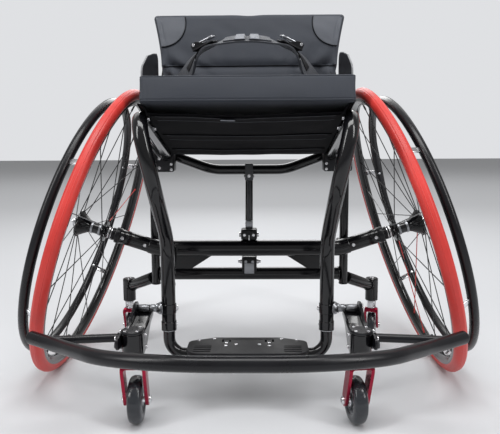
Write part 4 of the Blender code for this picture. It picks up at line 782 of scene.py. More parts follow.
def makeCrossbar():
    half = tubes["postX"] - tubes["postRadius"] + 0.0002
    ends = [fromAxle(x, tubes["crossbarY"], tubes["crossbarZ"]) for x in (-half, half)]
    parts = [painted(rod("crossbar", *ends, tubes["crossbarRadius"], 40, 0), "glossBlack")]
    down = Vector((0, tubes["crossbarY"], tubes["crossbarZ"] - tubes["barZ"]))
    reach = down.length
    down.normalize()
    for side in (1, -1):
        spread = axes((side, 0, 0), Vector((side, 0, 0)).cross(down), fromAxle(0, 0, tubes["barZ"]))
        top, low = tubes["barRadius"] + 0.0003, reach - tubes["crossbarRadius"]
        inner, outer, step, foot, thick = crossbar["gusset"].values()
        outline = [(inner, top), (outer, top), (outer, reach), (step, reach), (foot, low)]
        add(parts, plate("gusset", outline, thick, spread, 0.0008), "glossBlack")
        place = ends[0 if side < 0 else 1] - Vector((side * 0.0014, 0, 0))
        add(parts, weldBead("bead", place, (1, 0, 0), tubes["crossbarRadius"] + 0.0002), "glossBlack")
    finished("lowerCrossbar", parts, "glossBlack", "lower_crossbar")

    y, z = tubes["crossbarY"], tubes["bracketZ"]
    middle = box("bracket", crossbar["block"], fromAxle(0, y, z), 0.0035)
    through = [fromAxle(x, y, tubes["crossbarZ"]) for x in (-0.05, 0.05)]
    cut(middle, rod("saddle", *through, tubes["crossbarRadius"] + 0.0003, 40, 0))
    parts = [painted(cleaned(middle), "satinBlack")]
    place = fromAxle(0, y - crossbar["tongueBehind"], crossbar["tongueZ"])
    add(parts, box("tongue", crossbar["tongue"], place, 0.0010), "greyAlloy")
    boltX, boltRadius, boltHigh = crossbar["sideBolt"]
    studLow, studHigh, studRadius = crossbar["stud"]
    frontX, ahead, frontRadius, frontHigh = crossbar["frontBolt"]
    for side in (1, -1):
        addBolt(parts, fromAxle(side * boltX, y, z + 0.004), (side, 0, 0), boltRadius, boltHigh)
        studEnds = [fromAxle(side * x, y, z + 0.004) for x in (studLow, studHigh)]
        add(parts, rod("stud", *studEnds, studRadius, 16, 0.0006), "brightSteel")
        place = fromAxle(side * frontX, y - ahead, z + 0.006)
        addBolt(parts, place, (0, -1, 0), frontRadius, frontHigh, "greyAlloy")
    finished("crossbarBracket", parts, "satinBlack", "crossbar_bracket")


backLean = {"lowY": 0.0340, "lowZ": 0.6340, "run": 0.0280, "rise": 0.1100}


def backY(z):
    return backLean["lowY"] + (z - backLean["lowZ"]) * backLean["run"] / backLean["rise"]


posts = {
    "lowZ": 0.1680, "kneeZ": 0.4750, "waist": (0.1760, 0.6340), "top": (0.1920, 0.7350), "behind": 0.0220,
    "capRadius": 0.0098, "barClamp": (0.0300, 0.0290, 0.0300), "barClampY": 0.0318, "holeBack": 0.0018,
    "split": (0.0200, 0.0014, 0.0400), "barBolts": (0.0075, -0.0075), "blockHigh": 0.0420, "railHole": 0.0133,
    "postHole": 0.0099, "outerBolts": (0.1890, (0.008, -0.012), 0.0034, 0.0024),
    "innerBolts": (0.1638, (-0.004, -0.0155), 0.0030, 0.0022),
}


def makeSeatPosts():
    tilt = math.atan2(backLean["run"], backLean["rise"])
    behind = posts["behind"] + (tubes["postRadius"] + 0.0003) / math.cos(tilt)
    for tag, side in sides:
        end = tag.lower()
        x, y = tubes["postX"], tubes["postY"]
        (waistX, waistZ), (topX, topZ) = posts["waist"], posts["top"]
        corners = [at(side, x, y, posts["lowZ"]), at(side, x, y, posts["kneeZ"]),
                   at(side, waistX, backY(waistZ) + behind, waistZ),
                   at(side, topX, backY(topZ) + behind, topZ)]
        post = bentTube("post", rounded(corners, (0.09, 0.12), 12), tubes["postRadius"], 6)
        capEnds = [at(side, x, y, posts["lowZ"] + rise) for rise in (-0.0030, 0.0001)]
        cap = rod("cap", *capEnds, posts["capRadius"], 28, 0.0010)
        finished("seatPost", [painted(post, "glossBlack"), painted(cap, "blackPlastic")], "glossBlack",
            "seat_post", tag)

        # clamp on the camber bar: a split block with two bolts
        place = at(side, x, posts["barClampY"], tubes["barZ"])
        clamp = box("clamp", posts["barClamp"], place, 0.0040)
        holeEnds = [place - Vector((0, posts["holeBack"], z)) for z in (0.03, -0.03)]
        splitPlace = place + Vector((side * 0.0120, -posts["holeBack"], 0))
        cut(clamp, rod("hole", *holeEnds, posts["capRadius"], 32, 0),
            box("split", posts["split"], splitPlace, 0))
        parts = [painted(cleaned(clamp), "satinBlack")]
        for rise in posts["barBolts"]:
            addBolt(parts, place + Vector((side * 0.0118, 0.0144, rise)), (0, 1, 0), 0.0030, 0.0024)
        finished("postClamp", parts, "satinBlack", "post_clamp", tag)

        # clamp block between the seat rail and the post, with its bolts at the front
        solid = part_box(f"seat_clamp_{end}")
        size, middle = solid[1] - solid[0], (solid[0] + solid[1]) / 2
        high = posts["blockHigh"]
        block = box("block", (size.x, size.y, high), (middle.x, middle.y, solid[0].z + high / 2), 0.0050)
        slope = (tubes["railBack"][2] - tubes["railFront"][2]) / (tubes["railBack"][1]
            - tubes["railFront"][1])
        railHole = []
        for reach in (-0.06, 0.06):
            rise = (y + reach - tubes["railBack"][1]) * slope
            railHole.append(at(side, tubes["railBack"][0], y + reach, tubes["railBack"][2] + rise))
        postHole = [at(side, x, y, z) for z in (0.40, 0.50)]
        top = box("top", (size.x + 0.01, size.y + 0.01, 0.02), (middle.x, middle.y, solid[1].z + 0.0100), 0)
        cut(block, rod("railHole", *railHole, posts["railHole"], 40, 0),
            rod("postHole", *postHole, posts["postHole"], 32, 0), top)
        parts = [painted(cleaned(block), "satinBlack")]
        for boltX, rises, radius, boltHigh in (posts["outerBolts"], posts["innerBolts"]):
            for rise in rises:
                place = Vector((side * boltX, solid[0].y + 0.0002, middle.z + rise))
                addBolt(parts, place, (0, -1, 0), radius, boltHigh)
        finished("seatClamp", parts, "satinBlack", "seat_clamp", tag)


strut = {
    "barEnd": (0.1780, 0.4500), "barBend": 0.0800, "clevis": (0.0180, 0.0280, 0.0380), "barHole": 0.0110,
    "foot": (0.0200, 0.2980), "rodRadius": 0.0058, "flatX": 0.0052, "flatRadius": 0.0028,
    "footBlock": (0.0160, 0.0180, 0.0160), "clamp": 0.0340, "split": (0.0012, 0.0500, 0.0140),
}


def makeBackbar():
    y, z = tubes["backbarY"], tubes["backbarZ"]
    endX, endZ = strut["barEnd"]
    corners = mirrored([fromAxle(endX, y, endZ), fromAxle(strut["barBend"], y, z)])
    bar = bentTube("bar", rounded(corners, (0.12, 0.12), 14), tubes["backbarRadius"], 7)
    finished("rearCrossbar", [painted(bar, "glossBlack")], "glossBlack", "rear_crossbar")

    # clevis round the bar, telescoping rod and foot block
    clevis = box("clevis", strut["clevis"], fromAxle(0, y, z - 0.0050), 0.0030)
    cut(clevis, rod("barHole", fromAxle(-0.03, y, z), fromAxle(0.03, y, z), strut["barHole"], 40, 0))
    low, high = fromAxle(0, *strut["foot"]), fromAxle(0, y, z - 0.020)
    along = (high - low).normalized()
    parts = [painted(cleaned(clevis), "satinGrey")]
    add(parts, rod("strutRod", low, high, strut["rodRadius"], 32, 0), "satinGrey")
    for side in (1, -1):  # two flats beside the rod, from the clevis to the foot
        beside = Vector((side * strut["flatX"], 0, 0))
        flatEnds = [low + beside + along * 0.004, high + beside - along * 0.004]
        add(parts, rod("strutSleeve", *flatEnds, strut["flatRadius"], 20, 0.0008), "glossBlack")
    place = (0, strut["foot"][0] + axleY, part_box("strut")[0].z + strut["footBlock"][2] / 2)
    add(parts, box("strutFoot", strut["footBlock"], place, 0.0020), "greyAlloy")
    addBolt(parts, fromAxle(0, y - 0.0138, z - 0.0130), (0, -1, 0), 0.0036, 0.0020)
    for side in (1, -1):
        addBolt(parts, fromAxle(side * 0.0088, y, z - 0.016), (side, 0, 0), 0.0042, 0.0026)
    finished("strut", parts, "greyAlloy", "strut")

    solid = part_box("strut_clamp")
    middle = (solid[0] + solid[1]) / 2
    clamp = box("strutClamp", (strut["clamp"], strut["clamp"], solid[1].z - solid[0].z), middle, 0.0038)
    cut(clamp, box("split", strut["split"], (0, middle.y, solid[0].z + 0.004), 0))
    parts = [painted(cleaned(clamp), "satinBlack")]
    for side in (1, -1):
        addBolt(parts, (side * 0.0168, middle.y - 0.010, middle.z), (side, 0, 0), 0.0046, 0.0042)
        addBolt(parts, (side * 0.0095, middle.y - 0.0168, middle.z), (0, -1, 0), 0.0030, 0.0018)
    finished("strutClamp", parts, "satinBlack", "strut_clamp")


makeSideFrames()
makeCamberBar()
makeCrossbar()
makeSeatPosts()
makeBackbar()
print("frame tubes")


# casters: forks, wheels, housings and what carries them
casters = {
    "front": {
        "place": (0.1860, -0.3030), "yaw": {"Left": 8, "Right": 3}, "trail": 0.0220, "radius": 0.0400,
        "half": 0.0120, "lift": 0,
        "width": 0.0420, "leg": 0.0055, "legRadius": 0.0110, "crown": 0.1110, "stem": 0.0070,
        "shoulder": 0.1117, "bolt": 0.0040,
        "bend": 0.0050, "roof": 0.0070, "core": 0.0225, "spacerFinish": "satinBlack", "headSide": -1,
    },
    "rear": {
        "place": (0.2850, 0.1180), "yaw": {"Left": -15, "Right": 4}, "trail": 0.0200, "radius": 0.0360,
        "half": 0.0090, "lift": 0.0040,
        "width": 0.0315, "leg": 0.0045, "legRadius": 0.0090, "crown": 0.0880, "stem": 0.0060,
        "shoulder": 0.1047, "bolt": 0.0035,
        "bend": 0.0070, "roof": 0.0100, "core": 0.0190, "spacerFinish": "brightSteel", "headSide": 1,
    },
}
mount = {
    "radius": 0.0172, "low": 0.1120, "top": 0.1650, "cap": 0.0184, "capTop": 0.1692, "plate": 0.0050,
    "offset": 0.0135,
    "legX": 0.1415, "legY": -0.2050, "boltZ": 0.1770,
    "capBolts": (-132, -48, 48, 132), "capBoltReach": 0.0150, "armThick": 0.0290, "boltHole": 0.0063,
    "armBolts": ((0.030, 0.150), (0.034, 0.128)),
    "web": {"inner": 0.0120, "thick": 0.0040, "top": 0.1660, "low": 0.1340},
}


def roundedOutline(corners, bends, steps=5):
    points = [Vector((*corner, 0)) for corner in corners]
    outline = []
    for before, corner, after, bend in zip(points[-1:] + points[:-1], points, points[1:] + points[:1], bends):
        arc = rounded([before, corner, after], [bend], steps)[1:-1]
        outline += [(point.x, point.y) for point in arc]
    return outline


def capsuleOutline(start, end, radiusA, radiusB, steps=9):
    start, end = Vector(start), Vector(end)
    along = (end - start).normalized()
    angle = math.atan2(along.y, along.x)
    lean = math.acos((radiusA - radiusB) / (end - start).length)
    outline = []
    for centre, radius, low, high in (
        (end, radiusB, angle - lean, angle + lean), (start, radiusA, angle + lean, angle - lean + math.tau),
    ):
        for step in range(steps + 1):
            turn = low + (high - low) * step / steps
            outline.append((centre.x + radius * math.cos(turn), centre.y + radius * math.sin(turn)))
    return outline


def acrossX(x, y=0, z=0):
    return axes((0, 1, 0), (1, 0, 0), (x, y, z))


def makeFork(spec, side, matrix):
    axle = Vector((0, spec["trail"], spec["radius"] + spec["lift"]))
    half, leg, crown = spec["width"] / 2, spec["leg"], spec["crown"]
    low = axle.z - spec["legRadius"] - 0.002
    inside = half - leg
    corners = [
        (-half, low), (-half, crown), (half, crown), (half, low), (inside, low),
        (inside, crown - spec["roof"]),
        (-inside, crown - spec["roof"]), (-inside, low),
    ]
    bend = spec["bend"]
    outline = roundedOutline(corners, (0, bend, bend, 0, 0, bend * 0.7, bend * 0.7, 0))
    fork = plate("fork", outline, 0.060, axes((1, 0, 0), (0, -1, 0), (0, 0, 0)), 0)
    shape = capsuleOutline((0, crown - 0.0095), axle.yz, spec["legRadius"], spec["legRadius"] * 0.92)
    silhouette = plate("silhouette", shape, 0.080, acrossX(0), 0)
    applied(fork, "BOOLEAN", operation="INTERSECT", solver="EXACT", object=silhouette)
    removed(silhouette)
    cleaned(fork, 30)
    applied(fork, "BEVEL", width=0.0007, segments=2, limit_method="ANGLE", angle_limit=math.radians(40))
    parts = [painted(cleaned(fork, 40), "redAlloy")]
    stem, under = spec["stem"], crown - spec["roof"]
    for name, low, high, radius, sideCount, edge, finishName in (
        ("spacer", crown - 0.0006, spec["shoulder"], stem + 0.0043, 32, 0.0006, spec["spacerFinish"]),
        ("ring", crown, crown + 0.0014, stem + 0.0052, 32, 0.0004, "brightSteel"),
        ("stemNut", under - 0.0028, under + 0.0003, stem * 0.78, 6, 0.0004, "brightSteel"),
    ):
        add(parts, rod(name, (0, 0, low), (0, 0, high), radius, sideCount, edge), finishName)
    # axle bolt: a washer and a head at one end, a washer and a nut at the other
    way, bolt = spec["headSide"] * side, spec["bolt"]
    outward = Vector((way, 0, 0))
    head, nut = (axle + outward * reach for reach in (half, -half))
    add(parts, rod("washer", head, head + outward * 0.0008, bolt + 0.0030, 24, 0.0002), "brightSteel")
    addBolt(parts, head + outward * 0.0007, outward, bolt + 0.0020, 0.0034)
    add(parts, rod("washer", nut, nut - outward * 0.0008, bolt + 0.0028, 24, 0.0002), "brightSteel")
    add(parts, rod("nut", nut - outward * 0.0007, nut - outward * 0.0036, bolt + 0.0016, 6, 0.0004),
        "brightSteel")
    return settled(joined("fork", parts), matrix)


def makeRoller(spec, matrix):
    radius, half, core = spec["radius"], spec["half"], spec["core"]
    reach = spec["width"] / 2 - spec["leg"] - 0.0003
    profile = [(core, -half * 0.80)]
    steps = 22
    for step in range(steps + 1):
        turn = -math.pi / 2 + math.pi * step / steps
        bulge = abs(math.cos(turn)) ** 0.55
        wide = math.copysign(abs(math.sin(turn)) ** 0.75, turn)
        height = core + 0.003 + (radius - core - 0.003) * bulge
        groove = 0.00035 if step in (8, 14) else 0
        profile.append((height - groove, wide * half))
    profile.append((core, half * 0.80))
    tread = spun("tread", profile, 72, None, True, 40)
    rim, boss = core + 0.0002, spec["bolt"] + 0.0068
    side = [
        (rim, half * 0.78), (rim - 0.0016, half * 0.80), (rim - 0.0026, half * 0.72),
        (rim - 0.0032, half * 0.40),
        (boss + 0.0018, half * 0.34), (boss + 0.0006, half * 0.46), (boss, half * 0.86),
        (boss - 0.0010, half * 0.92),
    ]
    web = spun("web", side + [(radius, -height) for radius, height in reversed(side)], 64, None, False, 30)
    parts = [painted(tread, "smokeWheel"), painted(web, "greyAlloy")]
    tube = spec["bolt"] + 0.0004
    for way in (1, -1):
        seal = [(boss - 0.0010, half * 0.91), (boss - 0.0020, half * 0.86), (tube + 0.0020, half * 0.86),
            (tube + 0.0016, half * 0.93), (tube + 0.0016, reach), (tube, reach)]
        add(parts, spun("seal", [(radius, way * height) for radius, height in seal], 40, None, False, 30),
            "brightSteel")
    axle = Vector((0, spec["trail"], radius + spec["lift"]))
    return settled(joined("roller", parts), matrix @ axes((0, 0, -1), (1, 0, 0), axle))


def makeCasters():
    for kind, spec in casters.items():
        for tag, side in sides:
            x, y = spec["place"]
            matrix = Matrix.Translation(fromAxle(side * x, y,
                0)) @ Matrix.Rotation(math.radians(spec["yaw"][tag]), 4, "Z")
            fork, roller = makeFork(spec, side, matrix), makeRoller(spec, matrix)
            finished(f"{kind}Fork", [fork], "redAlloy", f"{kind}_fork", tag, f"{kind}_swivel")
            finished(f"{kind}Wheel", [roller], "smokeWheel", f"{kind}_wheel", tag, f"{kind}_roller")


def makeMounts():
    x0, y0 = casters["front"]["place"]
    low, top = mount["low"], mount["top"]
    for tag, side in sides:
        place = fromAxle(side * x0, y0, 0)
        # housing: a glossy barrel under a flat cap, open below round the stem
        inside = casters["front"]["stem"] + 0.0006
        barrel = [
            (inside, low + 0.012), (inside, low), (mount["radius"] - 0.0016, low),
            (mount["radius"], low + 0.0016),
            (mount["radius"], top - 0.0030), (mount["radius"] - 0.0008, top - 0.0022),
            (mount["radius"] - 0.0008, top), (0.002, top),
        ]
        housing = painted(spun("housing", barrel, 56, Matrix.Translation(place), False, 30), "glossBlack")
        cap = [
            (0.001, top - 0.0004), (mount["cap"] - 0.0006, top - 0.0004), (mount["cap"], top + 0.0004),
            (mount["cap"], mount["capTop"] - 0.0012),
            (mount["cap"] - 0.0014, mount["capTop"] - 0.0002), (mount["cap"] - 0.0060, mount["capTop"]),
            (0.001, mount["capTop"]),
        ]
        lid = painted(spun("lid", cap, 56, Matrix.Translation(place), False, 30), "satinBlack")
        parts = [housing, lid]
        for turn in mount["capBolts"]:
            way = Vector((math.cos(math.radians(turn)), math.sin(math.radians(turn)), 0))
            head = place + way * mount["capBoltReach"] + Vector((0, 0, mount["capTop"] - 0.0003))
            addBolt(parts, head, (0, 0, 1), 0.0027, 0.0016)
        # a solid arm and its outer cheek, back to the cross bolt
        boltZ, legY = mount["boltZ"], mount["legY"]
        corners = [
            (y0, top - 0.003), (y0 + 0.045, top + 0.002), (legY - 0.014, boltZ + 0.012),
            (legY + 0.011, boltZ + 0.012),
            (legY + 0.011, boltZ - 0.013), (legY - 0.020, boltZ - 0.020), (y0 + 0.040, low + 0.016),
            (y0, low + 0.006),
        ]
        lowered = [
            (y0, top - 0.006), (y0 + 0.050, top - 0.001), (legY - 0.020, boltZ - 0.0080),
            (legY + 0.011, boltZ - 0.0064),
            (legY + 0.011, boltZ - 0.017), (legY - 0.020, boltZ - 0.024), (y0 + 0.040, low + 0.012),
            (y0, low + 0.004),
        ]
        high = roundedOutline(corners, (0, 0.03, 0.012, 0.011, 0.011, 0.02, 0.03, 0), 7)
        block = roundedOutline(lowered, (0, 0.03, 0.02, 0.004, 0.006, 0.02, 0.03, 0), 7)
        across = acrossX(side * (x0 - 0.001), axleY)
        add(parts, plate("arm", block, mount["armThick"], across, 0.0042), "glossBlack")
        outer = side * (x0 + mount["offset"])
        sheet = plate("cheek", high, mount["plate"], acrossX(outer, axleY), 0.0009)
        holeEnds = [fromAxle(outer + x, legY, boltZ) for x in (-0.01, 0.01)]
        cut(sheet, rod("hole", *holeEnds, mount["boltHole"], 32, 0))
        add(parts, cleaned(sheet), "satinBlack")
        # a web between the housing and the return strut's ear
        inner, thick, webTop, webLow = mount["web"].values()
        corners = [
            (x0 + inner, webTop), (x0 + 0.0190, webTop), (x0 + 0.0320, 0.1450), (x0 + 0.0330, webLow),
            (x0 + inner, webLow),
        ]
        web = roundedOutline(corners, (0.001, 0.004, 0.006, 0.003, 0.001), 5)
        face = axes((side, 0, 0), (0, -side, 0), fromAxle(0, y0 + 0.008, 0))
        add(parts, plate("web", web, thick, face, 0.0008), "satinGrey")
        # two screws in the arm's inner side
        face = side * (x0 - 0.0152)
        for behind, z in mount["armBolts"]:
            addBolt(parts, fromAxle(face, y0 + behind, z), (-side, 0, 0), 0.0032, 0.0020)
        finished("casterMount", parts, "blackPlastic", "caster_mount", tag)


# the cross bolt: a band round the leg, a grey saddle on its outer side, a rod with a ring gap
crossClamp = {"bandInside": 0.0128, "band": 0.0138, "bandHalf": 0.0085, "legHole": 0.0139,
    "sleeves": ((0.0215, 0.0325), (0.0345, 0.0540))}


def makeCrossClamps():
    legX, legY, z = mount["legX"], mount["legY"], mount["boltZ"]
    x0 = casters["front"]["place"][0]
    outX = x0 + mount["offset"] + mount["plate"] / 2 + 0.0003
    for tag, side in sides:
        inside, radius, half = (crossClamp[key] for key in ("bandInside", "band", "bandHalf"))
        edge = [(inside, -half), (radius - 0.0004, -half), (radius, -half + 0.0005)]
        edge += [(reach, -rise) for reach, rise in reversed(edge)]
        profile = [(reach, z + rise) for reach, rise in edge]
        band = spun("band", profile, 48, Matrix.Translation(fromAxle(side * legX, legY, 0)), True, 30)
        parts = [painted(band, "glossBlack")]
        turn = axes((0, 1, 0), (side, 0, 0), fromAxle(side * legX, legY, z))
        cone = [
            (0.0008, 0.0090), (0.0118, 0.0090), (0.0118, 0.0140), (0.0104, 0.0175),
            (0.0086, 0.0192), (0.0086, 0.0216), (0.0066, 0.0222), (0.0008, 0.0222),
        ]
        saddle = spun("saddle", cone, 48, turn, False, 30)
        legEnds = [fromAxle(side * legX, legY, z + rise) for rise in (-0.03, 0.03)]
        cut(saddle, rod("leg", *legEnds, crossClamp["legHole"], 48, 0))
        add(parts, cleaned(saddle), "greyAlloy")
        for low, high in crossClamp["sleeves"]:
            add(parts, rod("sleeve", turn @ Vector((0, 0, low)), turn @ Vector((0, 0, high)), 0.0068, 32,
                0.0005), "greyAlloy")
        add(parts, rod("shank", turn @ Vector((0, 0, 0.0200)), turn @ Vector((0, 0, outX - legX + 0.0005)),
            0.0060, 32, 0), "satinBlack")
        addBolt(parts, fromAxle(side * outX, legY, z), (side, 0, 0), 0.0088, 0.0040)
        # bolt heads on the leg's inner side
        inner = fromAxle(side * (legX - 0.0136), legY, z)
        add(parts, rod("washer", inner, inner - Vector((side * 0.0008, 0, 0)), 0.0052, 28, 0.0002),
            "brightSteel")
        addBolt(parts, inner - Vector((side * 0.0006, 0, 0)), (-side, 0, 0), 0.0042, 0.0030)
        finished("crossClamp", parts, "greyAlloy", "cross_clamp", tag)


def makeAntiTipArms():
    x1, y1 = casters["rear"]["place"]
    low, top, radius = 0.1050, 0.1580, 0.0145
    for tag, side in sides:
        post, far = at(side, tubes["postX"], tubes["postY"], 0.1820), at(side, x1, y1, 0.1380)
        flat = Vector((far.x - post.x, far.y - post.y, 0))
        slope = math.atan2(post.z - far.z, flat.length)
        first = tubes["postRadius"] + 0.0003 + 0.0125 * math.sin(slope) - 0.0010
        start = post + (far - post) * first / flat.length
        tube = painted(rod("tube", start, far, 0.0125, 40, 0.0010), "glossBlack")
        place = at(side, x1, y1, 0)
        inside = casters["rear"]["stem"] + 0.0006
        barrel = [
            (inside, low + 0.010), (inside, low), (radius - 0.0014, low), (radius, low + 0.0014),
            (radius, top - 0.0045),
            (radius - 0.0006, top - 0.0040), (radius - 0.0006, top - 0.0034), (radius, top - 0.0030),
            (radius, top - 0.0018), (radius - 0.0018, top), (0.001, top),
        ]
        housing = painted(spun("housing", barrel, 48, Matrix.Translation(place), False, 30), "glossBlack")
        along = (far - start).normalized()
        bead = painted(weldBead("bead", far - along * (radius + 0.0012), along, 0.0128), "glossBlack")
        parts = [tube, housing, bead]
        addBolt(parts, place + Vector((0, 0, top - 0.0004)), (0, 0, 1), 0.0050, 0.0022)
        front = Vector((-side * 0.45, -0.89, 0)).normalized()
        for rise in (-0.006, 0.010):
            addBolt(parts, place + front * (radius - 0.0004) + Vector((0, 0, 0.1400 + rise)), front, 0.0030,
                0.0018)
        finished("antiTipArm", parts, "satinBlack", "anti_tip_arm", tag)


# bumper with its return struts and bolted plates
bumper = {
    "route": [(0.3500, -0.3080), (0.2890, -0.3500), (0.2080, -0.4380), (0.1100, -0.4870)], "radius": 0.0111,
    "bends": (0.25, 0.16, 0.32, 0.32, 0.16, 0.25), "lowZ": 0.1570, "highZ": 0.1810, "strutRadius": 0.0070,
}


def bumperZ(y):
    start, end = bumper["route"][1][1], bumper["route"][3][1]
    return bumper["lowZ"] + max(0.0, start - y) * (bumper["highZ"] - bumper["lowZ"]) / (start - end)


def makeBumper():
    corners = mirrored([fromAxle(x, y, bumperZ(y)) for x, y in bumper["route"]])
    parts = [painted(bentTube("bar", rounded(corners, bumper["bends"], 20), bumper["radius"], 8, 0.0026),
        "satinBlack")]
    x0, y0 = casters["front"]["place"]
    plateX = x0 + mount["radius"] + 0.0003
    for side in (1, -1):
        inner, outer = at(side, plateX + 0.002, y0 - 0.002, 0.1560), at(side, 0.3280, -0.3235, bumper["lowZ"])
        along = (outer - inner).normalized()
        add(parts, rod("strut", inner, outer, bumper["strutRadius"], 32, 0), "satinBlack")
        add(parts, weldBead("bead", inner + along * 0.0030, along, bumper["strutRadius"] + 0.0003),
            "satinBlack")
        corners = [(y0 - 0.030, 0.143), (y0 + 0.020, 0.138), (y0 + 0.020, mount["top"] - 0.0013),
            (y0 - 0.030, mount["top"] - 0.0033)]
        outline = roundedOutline(corners, (0.008, 0.008, 0.006, 0.008), 6)
        add(parts, plate("ear", outline, 0.0040, acrossX(side * (plateX + 0.0020), axleY), 0.0008),
            "satinBlack")
        for y, z in ((y0 - 0.023, 0.162), (y0 + 0.013, 0.145), (y0 + 0.013, 0.162)):
            addBolt(parts, at(side, plateX + 0.0039, y, z), (side, 0, 0), 0.0034, 0.0020)
        tip, bend = (at(side, *place, bumper["lowZ"]) for place in bumper["route"][:2])
        way = (tip - bend).normalized()
        add(parts, rod("plug", tip - way * 0.0010, tip + way * 0.0018, 0.0102, 40, 0.0009), "blackPlastic")
    finished("bumperBar", parts, "satinBlack", "bumper")


# footrest: a U tube in the legs' ends, and two collars
footTube = {"radius": 0.0107, "z": 0.0920, "top": 0.1706}


def makeFootrest():
    corners = mirrored([at(1, mount["legX"], mount["legY"], footTube[key]) for key in ("top", "z")])
    tube = bentTube("tube", rounded(corners, (0.03, 0.03), 16), footTube["radius"], 7, 0.0006)
    finished("footrestTube", [painted(tube, "glossBlack")], "glossBlack", "footrest")
    for tag, side in sides:
        z0, z1, bore = 0.1376, 0.1536, footTube["radius"] + 0.0003
        place = Matrix.Translation(at(side, mount["legX"], mount["legY"], 0))
        ring = [(bore, z0), (0.0130, z0), (0.0136, z0 + 0.0006), (0.0136, z1 - 0.0006), (0.0132, z1),
            (0.0129, z1), (0.0129, 0.1435), (bore, 0.1435)]
        collar = painted(spun("collar", ring, 48, place, True, 30), "glossBlack")
        edge = [(bore, z0 - 0.0006), (0.0133, z0 - 0.0006), (0.0137, z0), (0.0133, z0 + 0.0004),
            (bore, z0 + 0.0004)]
        rim = painted(spun("rim", edge, 48, place, True, 30), "greyAlloy")
        screw = painted(boltAt(at(side, mount["legX"] - 0.0135, mount["legY"], 0.1480), (-side, 0, 0), 0.0028,
            0.0014), "brightSteel")
        finished("footCollar", [collar, rim, screw], "satinBlack", "foot_collar", tag)


# footplate: a board with grip slots, a sunk panel and two saddles on the tube
footplate = {
    "front": -0.2540, "rear": -0.1660, "half": 0.1080, "thick": 0.0070, "corner": 0.0200,
    "bends": (0.0260, 0.0260, 0.0140, 0.0200, 0.0200, 0.0140), "grips": 4, "gripStep": 0.0090,
    "gripHalf": 0.0140,
    "gripRadius": 0.0020, "slots": (0.0460, 0.0330), "slotRadius": 0.0022, "panelHalf": 0.0480,
    "panelDeep": 0.0016,
    "screws": ((0.0390, -0.2130), (0.0390, -0.1970), (0.0900, -0.1830), (0.0620, -0.1760), (0.0210, -0.2050)),
    "saddle": (0.0390, -0.2050), "saddleSize": (0.0200, 0.0320, 0.0200), "saddleDrop": 0.0110,
    "nuts": (-0.0120, 0.0120),
}


def makeFootplate():
    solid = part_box("footplate")
    front, rear, half, thick = (footplate[key] for key in ("front", "rear", "half", "thick"))
    z = solid[1].z - thick / 2
    middlePlane = Matrix.Translation(fromAxle(0, 0, z))
    shoulder, neck = rear - footplate["corner"], half * 0.55
    corners = [(-half, front), (half, front), (half, shoulder), (neck, rear), (-neck, rear),
        (-half, shoulder)]
    outline = roundedOutline(corners, footplate["bends"], 9)
    board = plate("board", outline, thick, middlePlane, 0.0014)
    cutters = []
    for side in (1, -1):
        middle = side * (half - 0.0120 - 0.0160)
        slots, radius, reach = [], footplate["gripRadius"], footplate["gripHalf"]
        for step in range(footplate["grips"]):
            y = front + 0.0120 + footplate["gripStep"] * step
            slots.append(capsuleOutline((middle - reach, y), (middle + reach, y), radius, radius, 7))
        radius = footplate["slotRadius"]
        for x in footplate["slots"]:  # two short slots beside each saddle's bolts
            slots.append(capsuleOutline((side * x, rear - 0.022), (side * x, rear - 0.016), radius, radius,
                7))
        cutters += [plate("slot", shape, 0.02, middlePlane, 0) for shape in slots]
    wide, ahead, behind = footplate["panelHalf"], front + 0.0080, rear - 0.0090
    panel = roundedOutline([(-wide, ahead), (wide, ahead), (wide, behind), (-wide, behind)], (0.006,) * 4, 5)
    upper = Matrix.Translation(fromAxle(0, 0, z + thick / 2))
    cutters.append(plate("panel", panel, footplate["panelDeep"], upper, 0))
    cut(board, *cutters)
    applied(board, "BEVEL", width=0.0003, segments=1, limit_method="ANGLE", angle_limit=math.radians(60))
    parts = [painted(cleaned(board, 30), "blackPlastic")]
    for side in (1, -1):
        for x, y in footplate["screws"]:
            height = solid[1].z - (0.0006 if x < 0.05 else 0.0003)
            addBolt(parts, fromAxle(side * x, y, height), (0, 0, 1), 0.0030, 0.0013)
        x, y = footplate["saddle"]
        low = z - footplate["saddleDrop"]
        saddle = box("saddle", footplate["saddleSize"], fromAxle(side * x, y, low), 0.0022)
        tubeEnds = [fromAxle(side * x + reach, y, footTube["z"]) for reach in (-0.03, 0.03)]
        cut(saddle, rod("tube", *tubeEnds, footTube["radius"] + 0.0004, 40, 0))
        add(parts, cleaned(saddle), "satinBlack")
        for reach in footplate["nuts"]:
            nutEnds = [fromAxle(side * x, y + reach, low - drop) for drop in (0.0098, 0.0128)]
            add(parts, rod("nut", *nutEnds, 0.0032, 6, 0.0004), "brightSteel")
    finished("footplateBoard", parts, "blackPlastic", "footplate")


